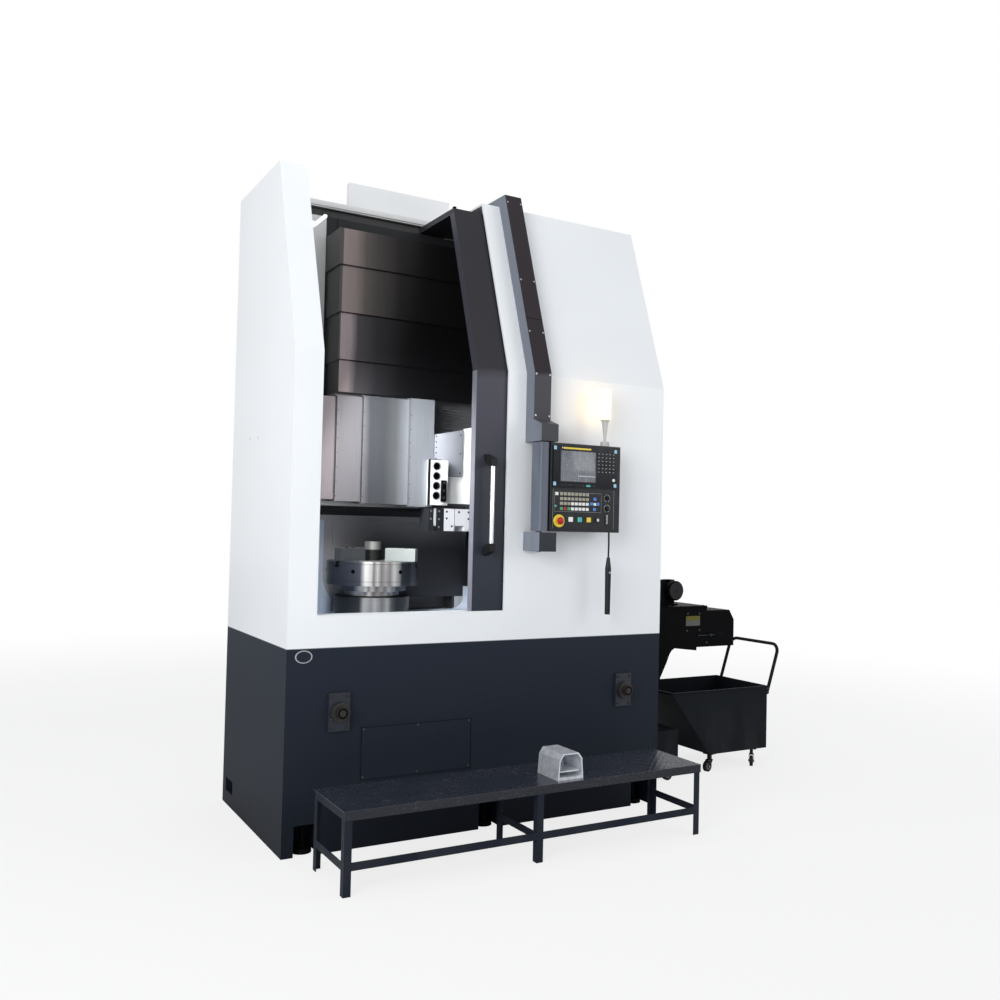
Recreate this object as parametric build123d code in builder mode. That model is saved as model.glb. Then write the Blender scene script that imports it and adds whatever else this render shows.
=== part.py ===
from build123d import *
from math import cos, radians, sin
import os

# Vertical turning lathe with its chip conveyor, chip cart, step bench and foot switch.
# Millimetres, +Z up, +Y away from the front. The origin is on the floor, on the spindle axis.

# Housing: dark base, then a straight front up to the knee and a leaning one up to the roof
DEPTH = 1120
BASE_HEIGHT = 1000
LOWER_RISE = 1465
UPPER_RISE = 1025
TOP_SETBACK = 355
AXIS_FROM_LEFT = 685
AXIS_FROM_FRONT = 620
# Door opening, and the pocket on its right that takes the open door
POST_WIDTH = 147
OPENING_WIDTH = 1053
DOOR_SHOWING = 188
DOOR_OVERLAP = 65
POCKET_MARGIN = 150
DOOR_REST = OPENING_WIDTH - DOOR_SHOWING
DOOR_WIDTH = OPENING_WIDTH + DOOR_OVERLAP
WIDTH = POST_WIDTH + DOOR_REST + DOOR_WIDTH + POCKET_MARGIN
KNEE_HEIGHT = BASE_HEIGHT + LOWER_RISE
TOP_HEIGHT = KNEE_HEIGHT + UPPER_RISE
LEFT = -AXIS_FROM_LEFT
RIGHT = LEFT + WIDTH
FRONT = -AXIS_FROM_FRONT
BACK = FRONT + DEPTH
LEAN = TOP_SETBACK / UPPER_RISE

# General fits
SHEET = 12
SEAT_GAP = 0.3
CLEARANCE = 6

# Sill below the door opening
SILL_RISE = 160
SILL_DEPTH = 110
SILL_DROP = 12
OPENING_LEFT = LEFT + POST_WIDTH
OPENING_RIGHT = OPENING_LEFT + OPENING_WIDTH
SILL_TOP = BASE_HEIGHT + SILL_RISE
SILL_BACK = FRONT + SILL_DEPTH

# Sliding door, which stands part open, and its pull handle
DOOR_INSET = 20
DOOR_THICKNESS = 50
DOOR_GROOVE = 21
DOOR_SINK = 30
DOOR_HEADROOM = 62
DOOR_ROOF_THICKNESS = 32
DOOR_GAP = 10
DOOR_FOOT_LENGTH = 58
DOOR_FOOT_INSET = 62
HANDLE_INSET = 76
HANDLE_RISE = 392
HANDLE_LENGTH = 416
HANDLE_STANDOFF = 62
HANDLE_RADIUS = 14
HANDLE_BRACKET_WIDTH = 36
HANDLE_BRACKET_RISE = 66
HANDLE_BRACKET_LIP = 40
DOOR_LEFT = OPENING_LEFT + DOOR_REST
DOOR_BOTTOM = SILL_TOP - DOOR_SINK
DOOR_TOP = TOP_HEIGHT - DOOR_HEADROOM
DOOR_TRACK = DOOR_BOTTOM - DOOR_GAP
DOOR_BACK = FRONT + DOOR_INSET + DOOR_THICKNESS + DOOR_GAP

# Work space behind the opening
COLUMN_FRONT = 182
FOOT_SETBACK = 98
FOOT_SLOPE = 58
WORK_OVERRUN = 230
TUB_RISE = 92
TUB_WALL = 10
TUB_CORNER = 88
TUB_DEPTH = 140
CHUTE_FROM_RIGHT = 87
CHUTE_WIDTH = 300
CHUTE_HEIGHT = 78
CHUTE_DEPTH = 118
GUARD_LEFT = -144
GUARD_THICKNESS = 8
GUARD_CORNER = 58
GUARD_DROP = 76
FRAME_WIDTH = 340
FRAME_THICKNESS = 5
WORK_RIGHT = OPENING_RIGHT + WORK_OVERRUN
TUB_BACK = COLUMN_FRONT + FOOT_SETBACK
TUB_FLOOR = BASE_HEIGHT + TUB_RISE
TUB_RIM = TUB_FLOOR + TUB_DEPTH

# Spindle drum and chuck, stacked up from the tub's floor
DRUM_DIAMETER = 425
DRUM_HEIGHT = 113
SPINDLE_RADIUS = 70
SPINDLE_DEPTH = 40
NECK_DIAMETER = 310
NECK_HEIGHT = 33
RING_DIAMETER = 385
RING_HEIGHT = 34
CHUCK_DIAMETER = 520
CHUCK_HEIGHT = 133
CENTER_DIAMETER = 96
CENTER_HEIGHT = 107
JAW_WIDTH = 56
JAW_HEIGHT = 72
JAW_LENGTH = 176
JAW_INNER = 82
JAW_FIRST_ANGLE = -40
JAW_CHAMFER = 3
SLOT_WIDTH = 24
SLOT_DEPTH = 34
SLOT_FOOT_WIDTH = 44
SLOT_FOOT_HEIGHT = 14
DRUM_TOP = TUB_FLOOR + DRUM_HEIGHT
RING_BOTTOM = DRUM_TOP + NECK_HEIGHT
CHUCK_BOTTOM = RING_BOTTOM + RING_HEIGHT
CHUCK_TOP = CHUCK_BOTTOM + CHUCK_HEIGHT

# Column and cross rail
LEDGE_RISE = 285
RAIL_INSET_LEFT = 58
RAIL_INSET_RIGHT = 32
RAIL_FRONT = 42
RAIL_GAP_BELOW = 22
RAIL_HEIGHT = 578
RAIL_NECK = 210
GUIDEWAY_WIDTH = 58
GUIDEWAY_RISES = (118, 388)
COLUMN_GUIDE_LEFT = 280
COLUMN_GUIDE_RIGHT = 135
LEDGE_HEIGHT = CHUCK_TOP + LEDGE_RISE
COLUMN_TOP = DOOR_TOP - DOOR_ROOF_THICKNESS - CLEARANCE
RAIL_LEFT = OPENING_LEFT + RAIL_INSET_LEFT
RAIL_RIGHT = WORK_RIGHT - RAIL_INSET_RIGHT
RAIL_BACK = COLUMN_FRONT - CLEARANCE
RAIL_BOTTOM = LEDGE_HEIGHT + RAIL_GAP_BELOW
RAIL_TOP = RAIL_BOTTOM + RAIL_HEIGHT
RAIL_NECK_TOP = RAIL_TOP + RAIL_NECK

# Upright telescopic covers, named from the column's top down to the rail
Z_COVER_INSET_LEFT = 214
Z_COVER_INSET_RIGHT = 13
Z_COVER_FRONT = -45
Z_COVER_STEP = 8
Z_COVER_SHEET = 2
Z_COVER_START = 62
Z_COVER_LAST = 222
Z_COVER_HEIGHT = 310
Z_COVER_LAP = 44
Z_COVER_HEADROOM = 120
Z_COVER_LIP_HEIGHT = 10
Z_COVER_LIP_DEPTH = 1
Z_COVER_LEFT = RAIL_LEFT + Z_COVER_INSET_LEFT
Z_COVER_RIGHT = RAIL_RIGHT - Z_COVER_INSET_RIGHT

# Level telescopic covers, from the rail's left end to the tool head
X_COVER_FRONT = -45
X_COVER_STEP = 9
X_COVER_SHEET = 3
X_COVER_RISE = 33
X_COVER_HEIGHT = 573
X_COVER_WIDTHS = (216, 305, 160)
X_COVER_LAPS = (96, 62, 20)
X_COVER_BOTTOM = RAIL_BOTTOM + X_COVER_RISE
X_COVER_TOP = X_COVER_BOTTOM + X_COVER_HEIGHT

# Tool head with its four-bore block and two lower holders
HEAD_FROM_RIGHT = 93
HEAD_WIDTH = 285
HEAD_FRONT = -80
HEAD_LIFT = 16
HEAD_HEIGHT = 420
HEAD_SLOPE = 62
HEAD_STEP = 230
HEAD_STEP_DEPTH = 14
BLOCK_OVERHANG = 43
BLOCK_WIDTH = 112
BLOCK_DEPTH = 50
BLOCK_HEIGHT = 262
BORE_DIAMETER = 40
BORE_COUNT = 4
BORE_PITCH = 57
BORE_INSET = 39
BORE_DROP = 36
CLAMP_WIDTH = 34
CLAMP_HEIGHT = 92
CLAMP_DEPTH = 16
HOLDER_HEIGHT = 130
HOLDER_DEPTH = 118
HOLDER_FRONT = -130
HOLDER_OVERHANG = 50
HOLDER_GAP = 3
DARK_HOLDER_WIDTH = 96
BRIGHT_HOLDER_WIDTH = 181
NOTCH_INSET = 71
NOTCH_WIDTH = 57
NOTCH_HEIGHT = 32
GROOVE_WIDTH = 16
GROOVE_DEPTH = 12
HEAD_RIGHT = RAIL_RIGHT - HEAD_FROM_RIGHT
HEAD_LEFT = HEAD_RIGHT - HEAD_WIDTH
HEAD_BACK = RAIL_FRONT - 8
HEAD_BOTTOM = RAIL_BOTTOM + HEAD_LIFT
HEAD_TOP = HEAD_BOTTOM + HEAD_HEIGHT
BLOCK_LEFT = HEAD_LEFT - BLOCK_OVERHANG
BLOCK_BOTTOM = HEAD_BOTTOM + 2
BLOCK_TOP = BLOCK_BOTTOM + BLOCK_HEIGHT
BORE_X = BLOCK_LEFT + BORE_INSET
HOLDER_LEFT = HEAD_LEFT - HOLDER_OVERHANG
HOLDER_TOP = HEAD_BOTTOM - 16
HOLDER_BOTTOM = HOLDER_TOP - HOLDER_HEIGHT

# Roof: rear beam, cover box and the work lamp
BEAM_SETBACK = 20
BEAM_DEPTH = 62
BEAM_FACE = 44
BEAM_STEP = 10
COVER_BOX_OVERHANG = 50
COVER_BOX_WIDTH = 667
COVER_BOX_DEPTH = 40
COVER_BOX_HEIGHT = 160
COVER_BOX_INSET = 192
LAMP_BAR_LENGTH = 215
LAMP_BAR_WIDTH = 16
LAMP_BAR_HEIGHT = 12
LAMP_BAR_FRONT = -125
LAMP_BAR_REACH = 150
LAMP_BAR_DROP = 192
LAMP_PLATE = 4
BEAM_FRONT = COLUMN_FRONT + BEAM_SETBACK
BEAM_BACK = BEAM_FRONT + BEAM_DEPTH
DOOR_ROOF_BACK = BEAM_FRONT - CLEARANCE

# Pendant arm with its two brackets
ARM_OFFSET = 114
ARM_WIDTH = 109
ARM_DEPTH = 82
ARM_DROP = 262
ARM_OVER_ROOF = 55
ARM_ROOF_REACH = 150
BRACKET_DEPTH = 165
BRACKET_CHAMFER = 28
UPPER_BRACKET_HEIGHT = 121
LOWER_BRACKET_HEIGHT = 103
ARM_LEFT = OPENING_RIGHT + ARM_OFFSET
ARM_BOTTOM = KNEE_HEIGHT - ARM_DROP
ARM_TOP = TOP_HEIGHT + ARM_OVER_ROOF
UPPER_BRACKET_BOTTOM = ARM_BOTTOM - UPPER_BRACKET_HEIGHT

# Pendant on its swivel column
SWIVEL_WIDTH = 60
SWIVEL_DEPTH = 104
SWIVEL_CORNER = 18
SWIVEL_STANDOFF = 112
PIVOT_PIN_RADIUS = 15
PIVOT_PIN_LENGTH = 18
PENDANT_WIDTH = 464
PENDANT_HEIGHT = 481
PENDANT_DEPTH = 95
PENDANT_STANDOFF = 168
PENDANT_MARGIN = 14
PENDANT_RIGHT_MARGIN = 26
DISPLAY_HEIGHT = 226
DISPLAY_DEPTH = 7
KEYBOARD_HEIGHT = 220
KEYBOARD_DEPTH = 4
ESTOP_INSET = 56
ESTOP_RISE = 58
ESTOP_RADIUS = 20
ESTOP_HEIGHT = 14
ESTOP_LIFT = 6
ESTOP_COLLAR_RADIUS = 30
ESTOP_COLLAR_HEIGHT = 8
ESTOP_STEM_RADIUS = 11
ESTOP_STEM_LENGTH = 16
ESTOP_WELL = 30
LAMP_FROM_RIGHT = 73
LAMP_BACKSET = 50
LAMP_BASE_RADIUS = 20
LAMP_BASE_HEIGHT = 30
LAMP_POLE_RADIUS = 9
LAMP_POLE_HEIGHT = 118
LAMP_RADIUS = 30
LAMP_HEIGHT = 182
HAND_UNIT_INSET = 32
HAND_UNIT_RADIUS = 15
HAND_UNIT_LENGTH = 320
HAND_CORD_RADIUS = 5
HAND_CORD_LENGTH = 140
PIVOT_X = ARM_LEFT + SWIVEL_WIDTH / 2
PIVOT_Y = FRONT - SWIVEL_STANDOFF
PENDANT_LEFT = PIVOT_X + SWIVEL_WIDTH / 2 + SEAT_GAP
PENDANT_RIGHT = PENDANT_LEFT + PENDANT_WIDTH
PENDANT_TOP = UPPER_BRACKET_BOTTOM - CLEARANCE
PENDANT_BOTTOM = PENDANT_TOP - PENDANT_HEIGHT
PENDANT_FRONT = FRONT - PENDANT_STANDOFF
LOWER_BRACKET_TOP = PENDANT_BOTTOM - CLEARANCE
LOWER_BRACKET_BOTTOM = LOWER_BRACKET_TOP - LOWER_BRACKET_HEIGHT
ESTOP_X = PENDANT_LEFT + ESTOP_INSET
ESTOP_Z = PENDANT_BOTTOM + ESTOP_RISE
LAMP_X = PENDANT_RIGHT - LAMP_FROM_RIGHT

# Details of the base
PANEL_INSET = 392
PANEL_WIDTH = 620
PANEL_RISE = 330
PANEL_HEIGHT = 275
PANEL_SHEET = 3
VENT_FRONT = 290
VENT_LENGTH = 145
VENT_RISE = 75
VENT_HEIGHT = 74
VENT_DEPTH = 40
LIFT_INSET = 271
LIFT_RISE = 685
LIFT_PLATE_WIDTH = 110
LIFT_PLATE_HEIGHT = 188
LIFT_PLATE_SHEET = 16
LIFT_FLANGE_RADIUS = 48
LIFT_FLANGE_DEPTH = 26
LIFT_BAR_RADIUS = 28
LIFT_BAR_DEPTH = 22
FOOT_INSET = 125
FOOT_SETBACK_Y = 75
FOOT_PAD_RADIUS = 50
FOOT_PAD_HEIGHT = 25
FOOT_SPINDLE_RADIUS = 14
FOOT_NUT_RADIUS = 23
FOOT_NUT_HEIGHT = 20
NOTCH_HALF_WIDTH = 65
FOOT_NOTCH_HEIGHT = 150
FOOT_NOTCH_DEPTH = 140

# Conveyor: inclined leg, head box over the cart, and the gear motor on top
CONVEYOR_FRONT = -170
CONVEYOR_WIDTH = 350
CONVEYOR_LEG_LENGTH = 216
CONVEYOR_REACH = 1023
CONVEYOR_HEAD_LENGTH = 527
CONVEYOR_STEP = 245
CONVEYOR_UNDERSIDE = 834
CONVEYOR_HEAD_HEIGHT = 278
CONVEYOR_STEP_HEIGHT = 33
CONVEYOR_NOSE = 42
CONVEYOR_NOSE_HEIGHT = 68
CONVEYOR_LIP_LENGTH = 195
CONVEYOR_LIP_DROP = 22
CONVEYOR_BEND = 62
CONVEYOR_CREST = 720
CONVEYOR_CREST_DROP = 410
MOTOR_INSET = 482
MOTOR_FRONT = -130
MOTOR_LENGTH = 150
MOTOR_RADIUS = 66
MOTOR_CORE_RADIUS = 57
MOTOR_RISE = 100
MOTOR_FINS = 16
MOTOR_FIN_THICKNESS = 3
MOTOR_COWL = 36
GEARBOX_WIDTH = 66
GEARBOX_HEIGHT = 172
CONVEYOR_RIGHT = RIGHT + CONVEYOR_REACH
CONVEYOR_TOP = CONVEYOR_UNDERSIDE + CONVEYOR_HEAD_HEIGHT

# Coolant tank and chip cart on casters
TANK_LENGTH = 443
TANK_FRONT = -290
TANK_WIDTH = 570
TANK_CLEARANCE = 92
TANK_HEIGHT = 236
CART_OFFSET = 437
CART_LENGTH = 853
CART_FRONT = -228
CART_WIDTH = 508
CART_FLOOR = 120
CART_HEIGHT = 430
CART_SLOPE = 333
CART_SHEET = 4
HANDLE_TUBE_RADIUS = 12.5
HANDLE_TUBE_SIDES = 8
HANDLE_TUBE_INSET = 16
HANDLE_TUBE_LEAN = 112
HANDLE_TUBE_RISE = 278
HANDLE_TUBE_FOOT = 62
HANDLE_TUBE_BEND = 62
CASTER_RADIUS = 36
CASTER_WIDTH = 22
CASTER_TRAIL = 24
CASTER_CHEEK = 3
CASTER_PLATE = 64
CASTER_INSET = 38
TANK_LEFT = RIGHT + SEAT_GAP
TANK_RIGHT = TANK_LEFT + TANK_LENGTH
TANK_TOP = TANK_CLEARANCE + TANK_HEIGHT
CART_LEFT = RIGHT + CART_OFFSET
CART_RIGHT = CART_LEFT + CART_LENGTH
CART_BACK = CART_FRONT + CART_WIDTH
CART_TOP = CART_FLOOR + CART_HEIGHT
CART_FLOOR_LEFT = CART_LEFT + CART_SLOPE

# Step bench and foot switch
BENCH_INSET = 92
BENCH_LENGTH = 2010
BENCH_STANDOFF = 182
BENCH_WIDTH = 400
BENCH_HEIGHT = 370
BENCH_SKIRT = 42
BENCH_SHEET = 4
ANGLE_SIZE = 36
ANGLE_SHEET = 4
STRETCHER_HEIGHT = 110
SWITCH_FROM_LEFT = 1193
SWITCH_SETBACK = 125
SWITCH_WIDTH = 150
SWITCH_TOP_WIDTH = 134
SWITCH_LENGTH = 190
SWITCH_HEIGHT = 130
SWITCH_CORNER = 28
SWITCH_SHELL = 6
SWITCH_BASE = 14
SWITCH_STEP = 48
PEDAL_RISE = 34
PEDAL_SHEET = 6
PEDAL_LENGTH = 120
PEDAL_GAP = 8
PEDAL_PIN_RADIUS = 5
BENCH_LEFT = LEFT + BENCH_INSET
BENCH_RIGHT = BENCH_LEFT + BENCH_LENGTH
BENCH_BACK = FRONT - BENCH_STANDOFF
BENCH_FRONT = BENCH_BACK - BENCH_WIDTH
SWITCH_X = BENCH_LEFT + SWITCH_FROM_LEFT
SWITCH_Y = BENCH_FRONT + SWITCH_SETBACK
SWITCH_FLOOR = BENCH_HEIGHT + SEAT_GAP

os.makedirs("parts", exist_ok=True)


def front_y(height, inset=0):
    """Place of the kinked front at a height, moved back by the inset."""
    return FRONT + inset + LEAN * max(0, height - KNEE_HEIGHT)


def kinked_strip(bottom, top, inset, thickness):
    """Outline of a bent sheet that follows the kinked front."""
    outer = [(front_y(z, inset), z) for z in (bottom, KNEE_HEIGHT, top)]
    inner = [(front_y(z, inset + thickness), z) for z in (top, KNEE_HEIGHT, bottom)]
    return outer + inner


def rectangle(left, bottom, right, top):
    """Corner points of a rectangle."""
    return [(left, bottom), (right, bottom), (right, top), (left, top)]


def flat_face(plane, points):
    """Closed face from corner points on a plane."""
    with BuildSketch(plane) as sketch:
        with BuildLine():
            Polyline(*points, close=True)
        make_face()
    return sketch.sketch


def side_face(x, points):
    """Face that looks along +X, from (y, z) points."""
    return flat_face(Plane.YZ.offset(x), points)


def front_plane(y):
    """Upright plane that looks to the front; its coordinates are x and z."""
    return Plane.XZ.offset(-y)


def front_face(y, points):
    """Face that looks to the front, from (x, z) points."""
    return flat_face(front_plane(y), points)


def level_face(z, points):
    """Face that looks up, from (x, y) points."""
    return flat_face(Plane.XY.offset(z), points)


def radial_plane(index):
    """Upright plane through the spindle axis and one jaw."""
    angle = radians(JAW_FIRST_ANGLE + 120 * index)
    return Plane((0, 0, 0), x_dir=(cos(angle), sin(angle), 0), z_dir=(sin(angle), -cos(angle), 0))


def upright_disc(x, y, z, radius):
    """Disc that looks to the front."""
    with BuildSketch(front_plane(y)) as sketch:
        with Locations((x, z)):
            Circle(radius)
    return sketch.sketch


def level_disc(x, y, z, radius):
    """Disc that looks up."""
    with BuildSketch(Plane.XY.offset(z)) as sketch:
        with Locations((x, y)):
            Circle(radius)
    return sketch.sketch


def side_disc(x, y, z, radius):
    """Disc that looks along +X."""
    with BuildSketch(Plane.YZ.offset(x)) as sketch:
        with Locations((y, z)):
            Circle(radius)
    return sketch.sketch


def save(shape, name):
    """Label a finished piece and write its file."""
    shape.part.label = name
    export_step(shape.part, f"parts/{name}.step")


def foot_places():
    """Centres of the levelling feet, in two rows of three."""
    xs = (LEFT + FOOT_INSET, (LEFT + RIGHT) / 2, RIGHT - FOOT_INSET)
    ys = (FRONT + FOOT_SETBACK_Y, BACK - FOOT_SETBACK_Y)
    return [(x, y) for x in xs for y in ys]


# Dark base housing, with an air slot low on the left side and notches for the feet
def make_base_cover():
    with BuildPart() as base_cover:
        extrude(front_face(FRONT, rectangle(LEFT, 0, RIGHT, BASE_HEIGHT)), amount=-DEPTH)
        vent = rectangle(VENT_FRONT, VENT_RISE, VENT_FRONT + VENT_LENGTH, VENT_RISE + VENT_HEIGHT)
        extrude(side_face(LEFT, vent), amount=VENT_DEPTH, mode=Mode.SUBTRACT)
        for x, y in foot_places():
            edge = FRONT if y < 0 else BACK - FOOT_NOTCH_DEPTH
            notch = rectangle(x - NOTCH_HALF_WIDTH, 0, x + NOTCH_HALF_WIDTH, FOOT_NOTCH_HEIGHT)
            extrude(front_face(edge, notch), amount=-FOOT_NOTCH_DEPTH, mode=Mode.SUBTRACT)
        left = LEFT + PANEL_INSET
        panel = rectangle(left, PANEL_RISE, left + PANEL_WIDTH, PANEL_RISE + PANEL_HEIGHT)
        extrude(front_face(FRONT, panel), amount=PANEL_SHEET)
    save(base_cover, "base_cover")


# Each foot is a round pad with a hexagon nut and a hexagon spindle up into its notch
def make_levelling_feet():
    with BuildPart() as levelling_feet:
        for x, y in foot_places():
            extrude(level_disc(x, y, 0, FOOT_PAD_RADIUS), amount=FOOT_PAD_HEIGHT)
            nut_top = FOOT_PAD_HEIGHT + FOOT_NUT_HEIGHT
            for low, high, radius in (
                (FOOT_PAD_HEIGHT, nut_top, FOOT_NUT_RADIUS),
                (nut_top, FOOT_NOTCH_HEIGHT, FOOT_SPINDLE_RADIUS),
            ):
                with BuildSketch(Plane.XY.offset(low)):
                    with Locations((x, y)):
                        RegularPolygon(radius, 6)
                extrude(amount=high - low)
    save(levelling_feet, "levelling_feet")


# Two bolted plates, each with a round flange and the end of a lifting bar
def make_lift_brackets():
    bar_front = FRONT - LIFT_PLATE_SHEET - LIFT_FLANGE_DEPTH
    with BuildPart() as lift_brackets:
        for x in (LEFT + LIFT_INSET, RIGHT - LIFT_INSET):
            low, left = LIFT_RISE - LIFT_PLATE_HEIGHT / 2, x - LIFT_PLATE_WIDTH / 2
            plate = rectangle(left, low, left + LIFT_PLATE_WIDTH, low + LIFT_PLATE_HEIGHT)
            extrude(front_face(FRONT, plate), amount=LIFT_PLATE_SHEET)
            flange = upright_disc(x, FRONT - LIFT_PLATE_SHEET, LIFT_RISE, LIFT_FLANGE_RADIUS)
            extrude(flange, amount=LIFT_FLANGE_DEPTH)
            extrude(upright_disc(x, bar_front, LIFT_RISE, LIFT_BAR_RADIUS), amount=LIFT_BAR_DEPTH)
    save(lift_brackets, "lift_brackets")


# White left wall: full depth, kinked front, with a groove that takes the door's edge
def make_left_wall():
    reach = DOOR_GROOVE + CLEARANCE
    inset = DOOR_INSET - DOOR_GAP + 2
    high = DOOR_TOP + DOOR_GAP
    low = DOOR_TOP - DOOR_ROOF_THICKNESS - DOOR_GAP
    with BuildPart() as left_wall:
        outline = [
            (FRONT, BASE_HEIGHT),
            (FRONT, KNEE_HEIGHT),
            (FRONT + TOP_SETBACK, TOP_HEIGHT),
            (BACK, TOP_HEIGHT),
            (BACK, BASE_HEIGHT),
        ]
        extrude(side_face(LEFT, outline), amount=POST_WIDTH)
        front_groove = kinked_strip(DOOR_TRACK, high, inset, DOOR_THICKNESS + 2 * DOOR_GAP - 2)
        roof_groove = [
            (front_y(high, inset), high),
            (DOOR_ROOF_BACK + CLEARANCE, high),
            (DOOR_ROOF_BACK + CLEARANCE, low),
            (front_y(low, inset), low),
        ]
        for groove in (front_groove, roof_groove):
            extrude(side_face(OPENING_LEFT - reach, groove), amount=reach, mode=Mode.SUBTRACT)
    save(left_wall, "left_wall")


def sill_outline(front_top):
    """Section of the sill behind the front sheet, with the sunk track of the door."""
    return [
        (FRONT + SHEET, BASE_HEIGHT),
        (FRONT + SHEET, DOOR_TRACK),
        (DOOR_BACK, DOOR_TRACK),
        (DOOR_BACK, front_top),
        (SILL_BACK, front_top - SILL_DROP),
        (SILL_BACK, BASE_HEIGHT),
    ]


# White sill below the opening, with the door's bottom track sunk in it
def make_sill():
    with BuildPart() as sill_panel:
        extrude(side_face(OPENING_LEFT, sill_outline(SILL_TOP)), amount=OPENING_WIDTH)
        lip = rectangle(FRONT, BASE_HEIGHT, FRONT + SHEET, SILL_TOP)
        extrude(side_face(OPENING_LEFT, lip), amount=OPENING_WIDTH)
    save(sill_panel, "sill_panel")


def make_right_front_panel():
    with BuildPart() as right_front_panel:
        outline = kinked_strip(BASE_HEIGHT, TOP_HEIGHT, 0, SHEET)
        extrude(side_face(OPENING_RIGHT, outline), amount=RIGHT - OPENING_RIGHT)
    save(right_front_panel, "right_front_panel")


def make_right_side_panel():
    with BuildPart() as right_side_panel:
        outline = [
            (front_y(BASE_HEIGHT, SHEET), BASE_HEIGHT),
            (front_y(KNEE_HEIGHT, SHEET), KNEE_HEIGHT),
            (front_y(TOP_HEIGHT, SHEET), TOP_HEIGHT),
            (BACK, TOP_HEIGHT),
            (BACK, BASE_HEIGHT),
        ]
        extrude(side_face(RIGHT - SHEET, outline), amount=SHEET)
    save(right_side_panel, "right_side_panel")


# Roof sheet on the right and behind the beam, with the raised cover box
def make_roof_panel():
    low = TOP_HEIGHT - SHEET
    with BuildPart() as roof_panel:
        outline = [
            (front_y(low, SHEET), low),
            (front_y(TOP_HEIGHT, SHEET), TOP_HEIGHT),
            (BACK, TOP_HEIGHT),
            (BACK, low),
        ]
        extrude(side_face(OPENING_RIGHT, outline), amount=RIGHT - SHEET - OPENING_RIGHT)
        rear = rectangle(BEAM_BACK, low, BACK, TOP_HEIGHT)
        extrude(side_face(OPENING_LEFT, rear), amount=OPENING_WIDTH)
        right = OPENING_RIGHT + COVER_BOX_OVERHANG
        box = rectangle(right - COVER_BOX_WIDTH, TOP_HEIGHT, right, TOP_HEIGHT + COVER_BOX_HEIGHT)
        extrude(front_face(BACK - COVER_BOX_INSET, box), amount=COVER_BOX_DEPTH)
    save(roof_panel, "roof_panel")


# Inner cabinet on the right: the door slides past its kinked front and on its low track
def make_cabinet():
    inset = DOOR_INSET + DOOR_THICKNESS + DOOR_GAP
    top = DOOR_TOP - DOOR_ROOF_THICKNESS - DOOR_GAP
    with BuildPart() as cabinet:
        outline = [
            (FRONT + SHEET, BASE_HEIGHT),
            (FRONT + SHEET, DOOR_TRACK),
            (DOOR_BACK, DOOR_TRACK),
            (front_y(KNEE_HEIGHT, inset), KNEE_HEIGHT),
            (front_y(top, inset), top),
            (BACK, top),
            (BACK, BASE_HEIGHT),
        ]
        extrude(side_face(WORK_RIGHT, outline), amount=RIGHT - SHEET - WORK_RIGHT)
        extrude(side_face(OPENING_RIGHT, sill_outline(SILL_TOP)), amount=WORK_RIGHT - OPENING_RIGHT)
    save(cabinet, "inner_cabinet")


# Column behind the work space: its foot stands further back to clear the chuck
def make_column():
    chute_right = WORK_RIGHT - CHUTE_FROM_RIGHT
    with BuildPart() as column:
        outline = [
            (TUB_BACK, BASE_HEIGHT),
            (TUB_BACK, LEDGE_HEIGHT - FOOT_SLOPE),
            (COLUMN_FRONT, LEDGE_HEIGHT),
            (COLUMN_FRONT, COLUMN_TOP),
            (BACK, COLUMN_TOP),
            (BACK, BASE_HEIGHT),
        ]
        extrude(side_face(OPENING_LEFT, outline), amount=WORK_RIGHT - OPENING_LEFT)
        chute = rectangle(chute_right - CHUTE_WIDTH, TUB_FLOOR, chute_right, TUB_FLOOR + CHUTE_HEIGHT)
        extrude(front_face(TUB_BACK, chute), amount=-CHUTE_DEPTH, mode=Mode.SUBTRACT)
        low = TUB_FLOOR + CHUTE_HEIGHT
        right = WORK_RIGHT - TUB_WALL - CLEARANCE
        with BuildSketch(front_plane(TUB_BACK)):
            with BuildLine():
                Polyline(
                    (right, low + GUARD_CORNER),
                    (right, LEDGE_HEIGHT - GUARD_DROP),
                    (GUARD_LEFT, LEDGE_HEIGHT - GUARD_DROP),
                    (GUARD_LEFT, low),
                    (right - GUARD_CORNER, low),
                )
                RadiusArc((right - GUARD_CORNER, low), (right, low + GUARD_CORNER), -GUARD_CORNER)
            make_face()
        extrude(amount=GUARD_THICKNESS)
        guideway_xs = (RAIL_LEFT + COLUMN_GUIDE_LEFT, RAIL_RIGHT - COLUMN_GUIDE_RIGHT)
        for x in guideway_xs:
            guideway = rectangle(x, LEDGE_HEIGHT, x + GUIDEWAY_WIDTH, COLUMN_TOP)
            extrude(front_face(COLUMN_FRONT, guideway), amount=CLEARANCE - SEAT_GAP)
    save(column, "rear_column")


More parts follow.
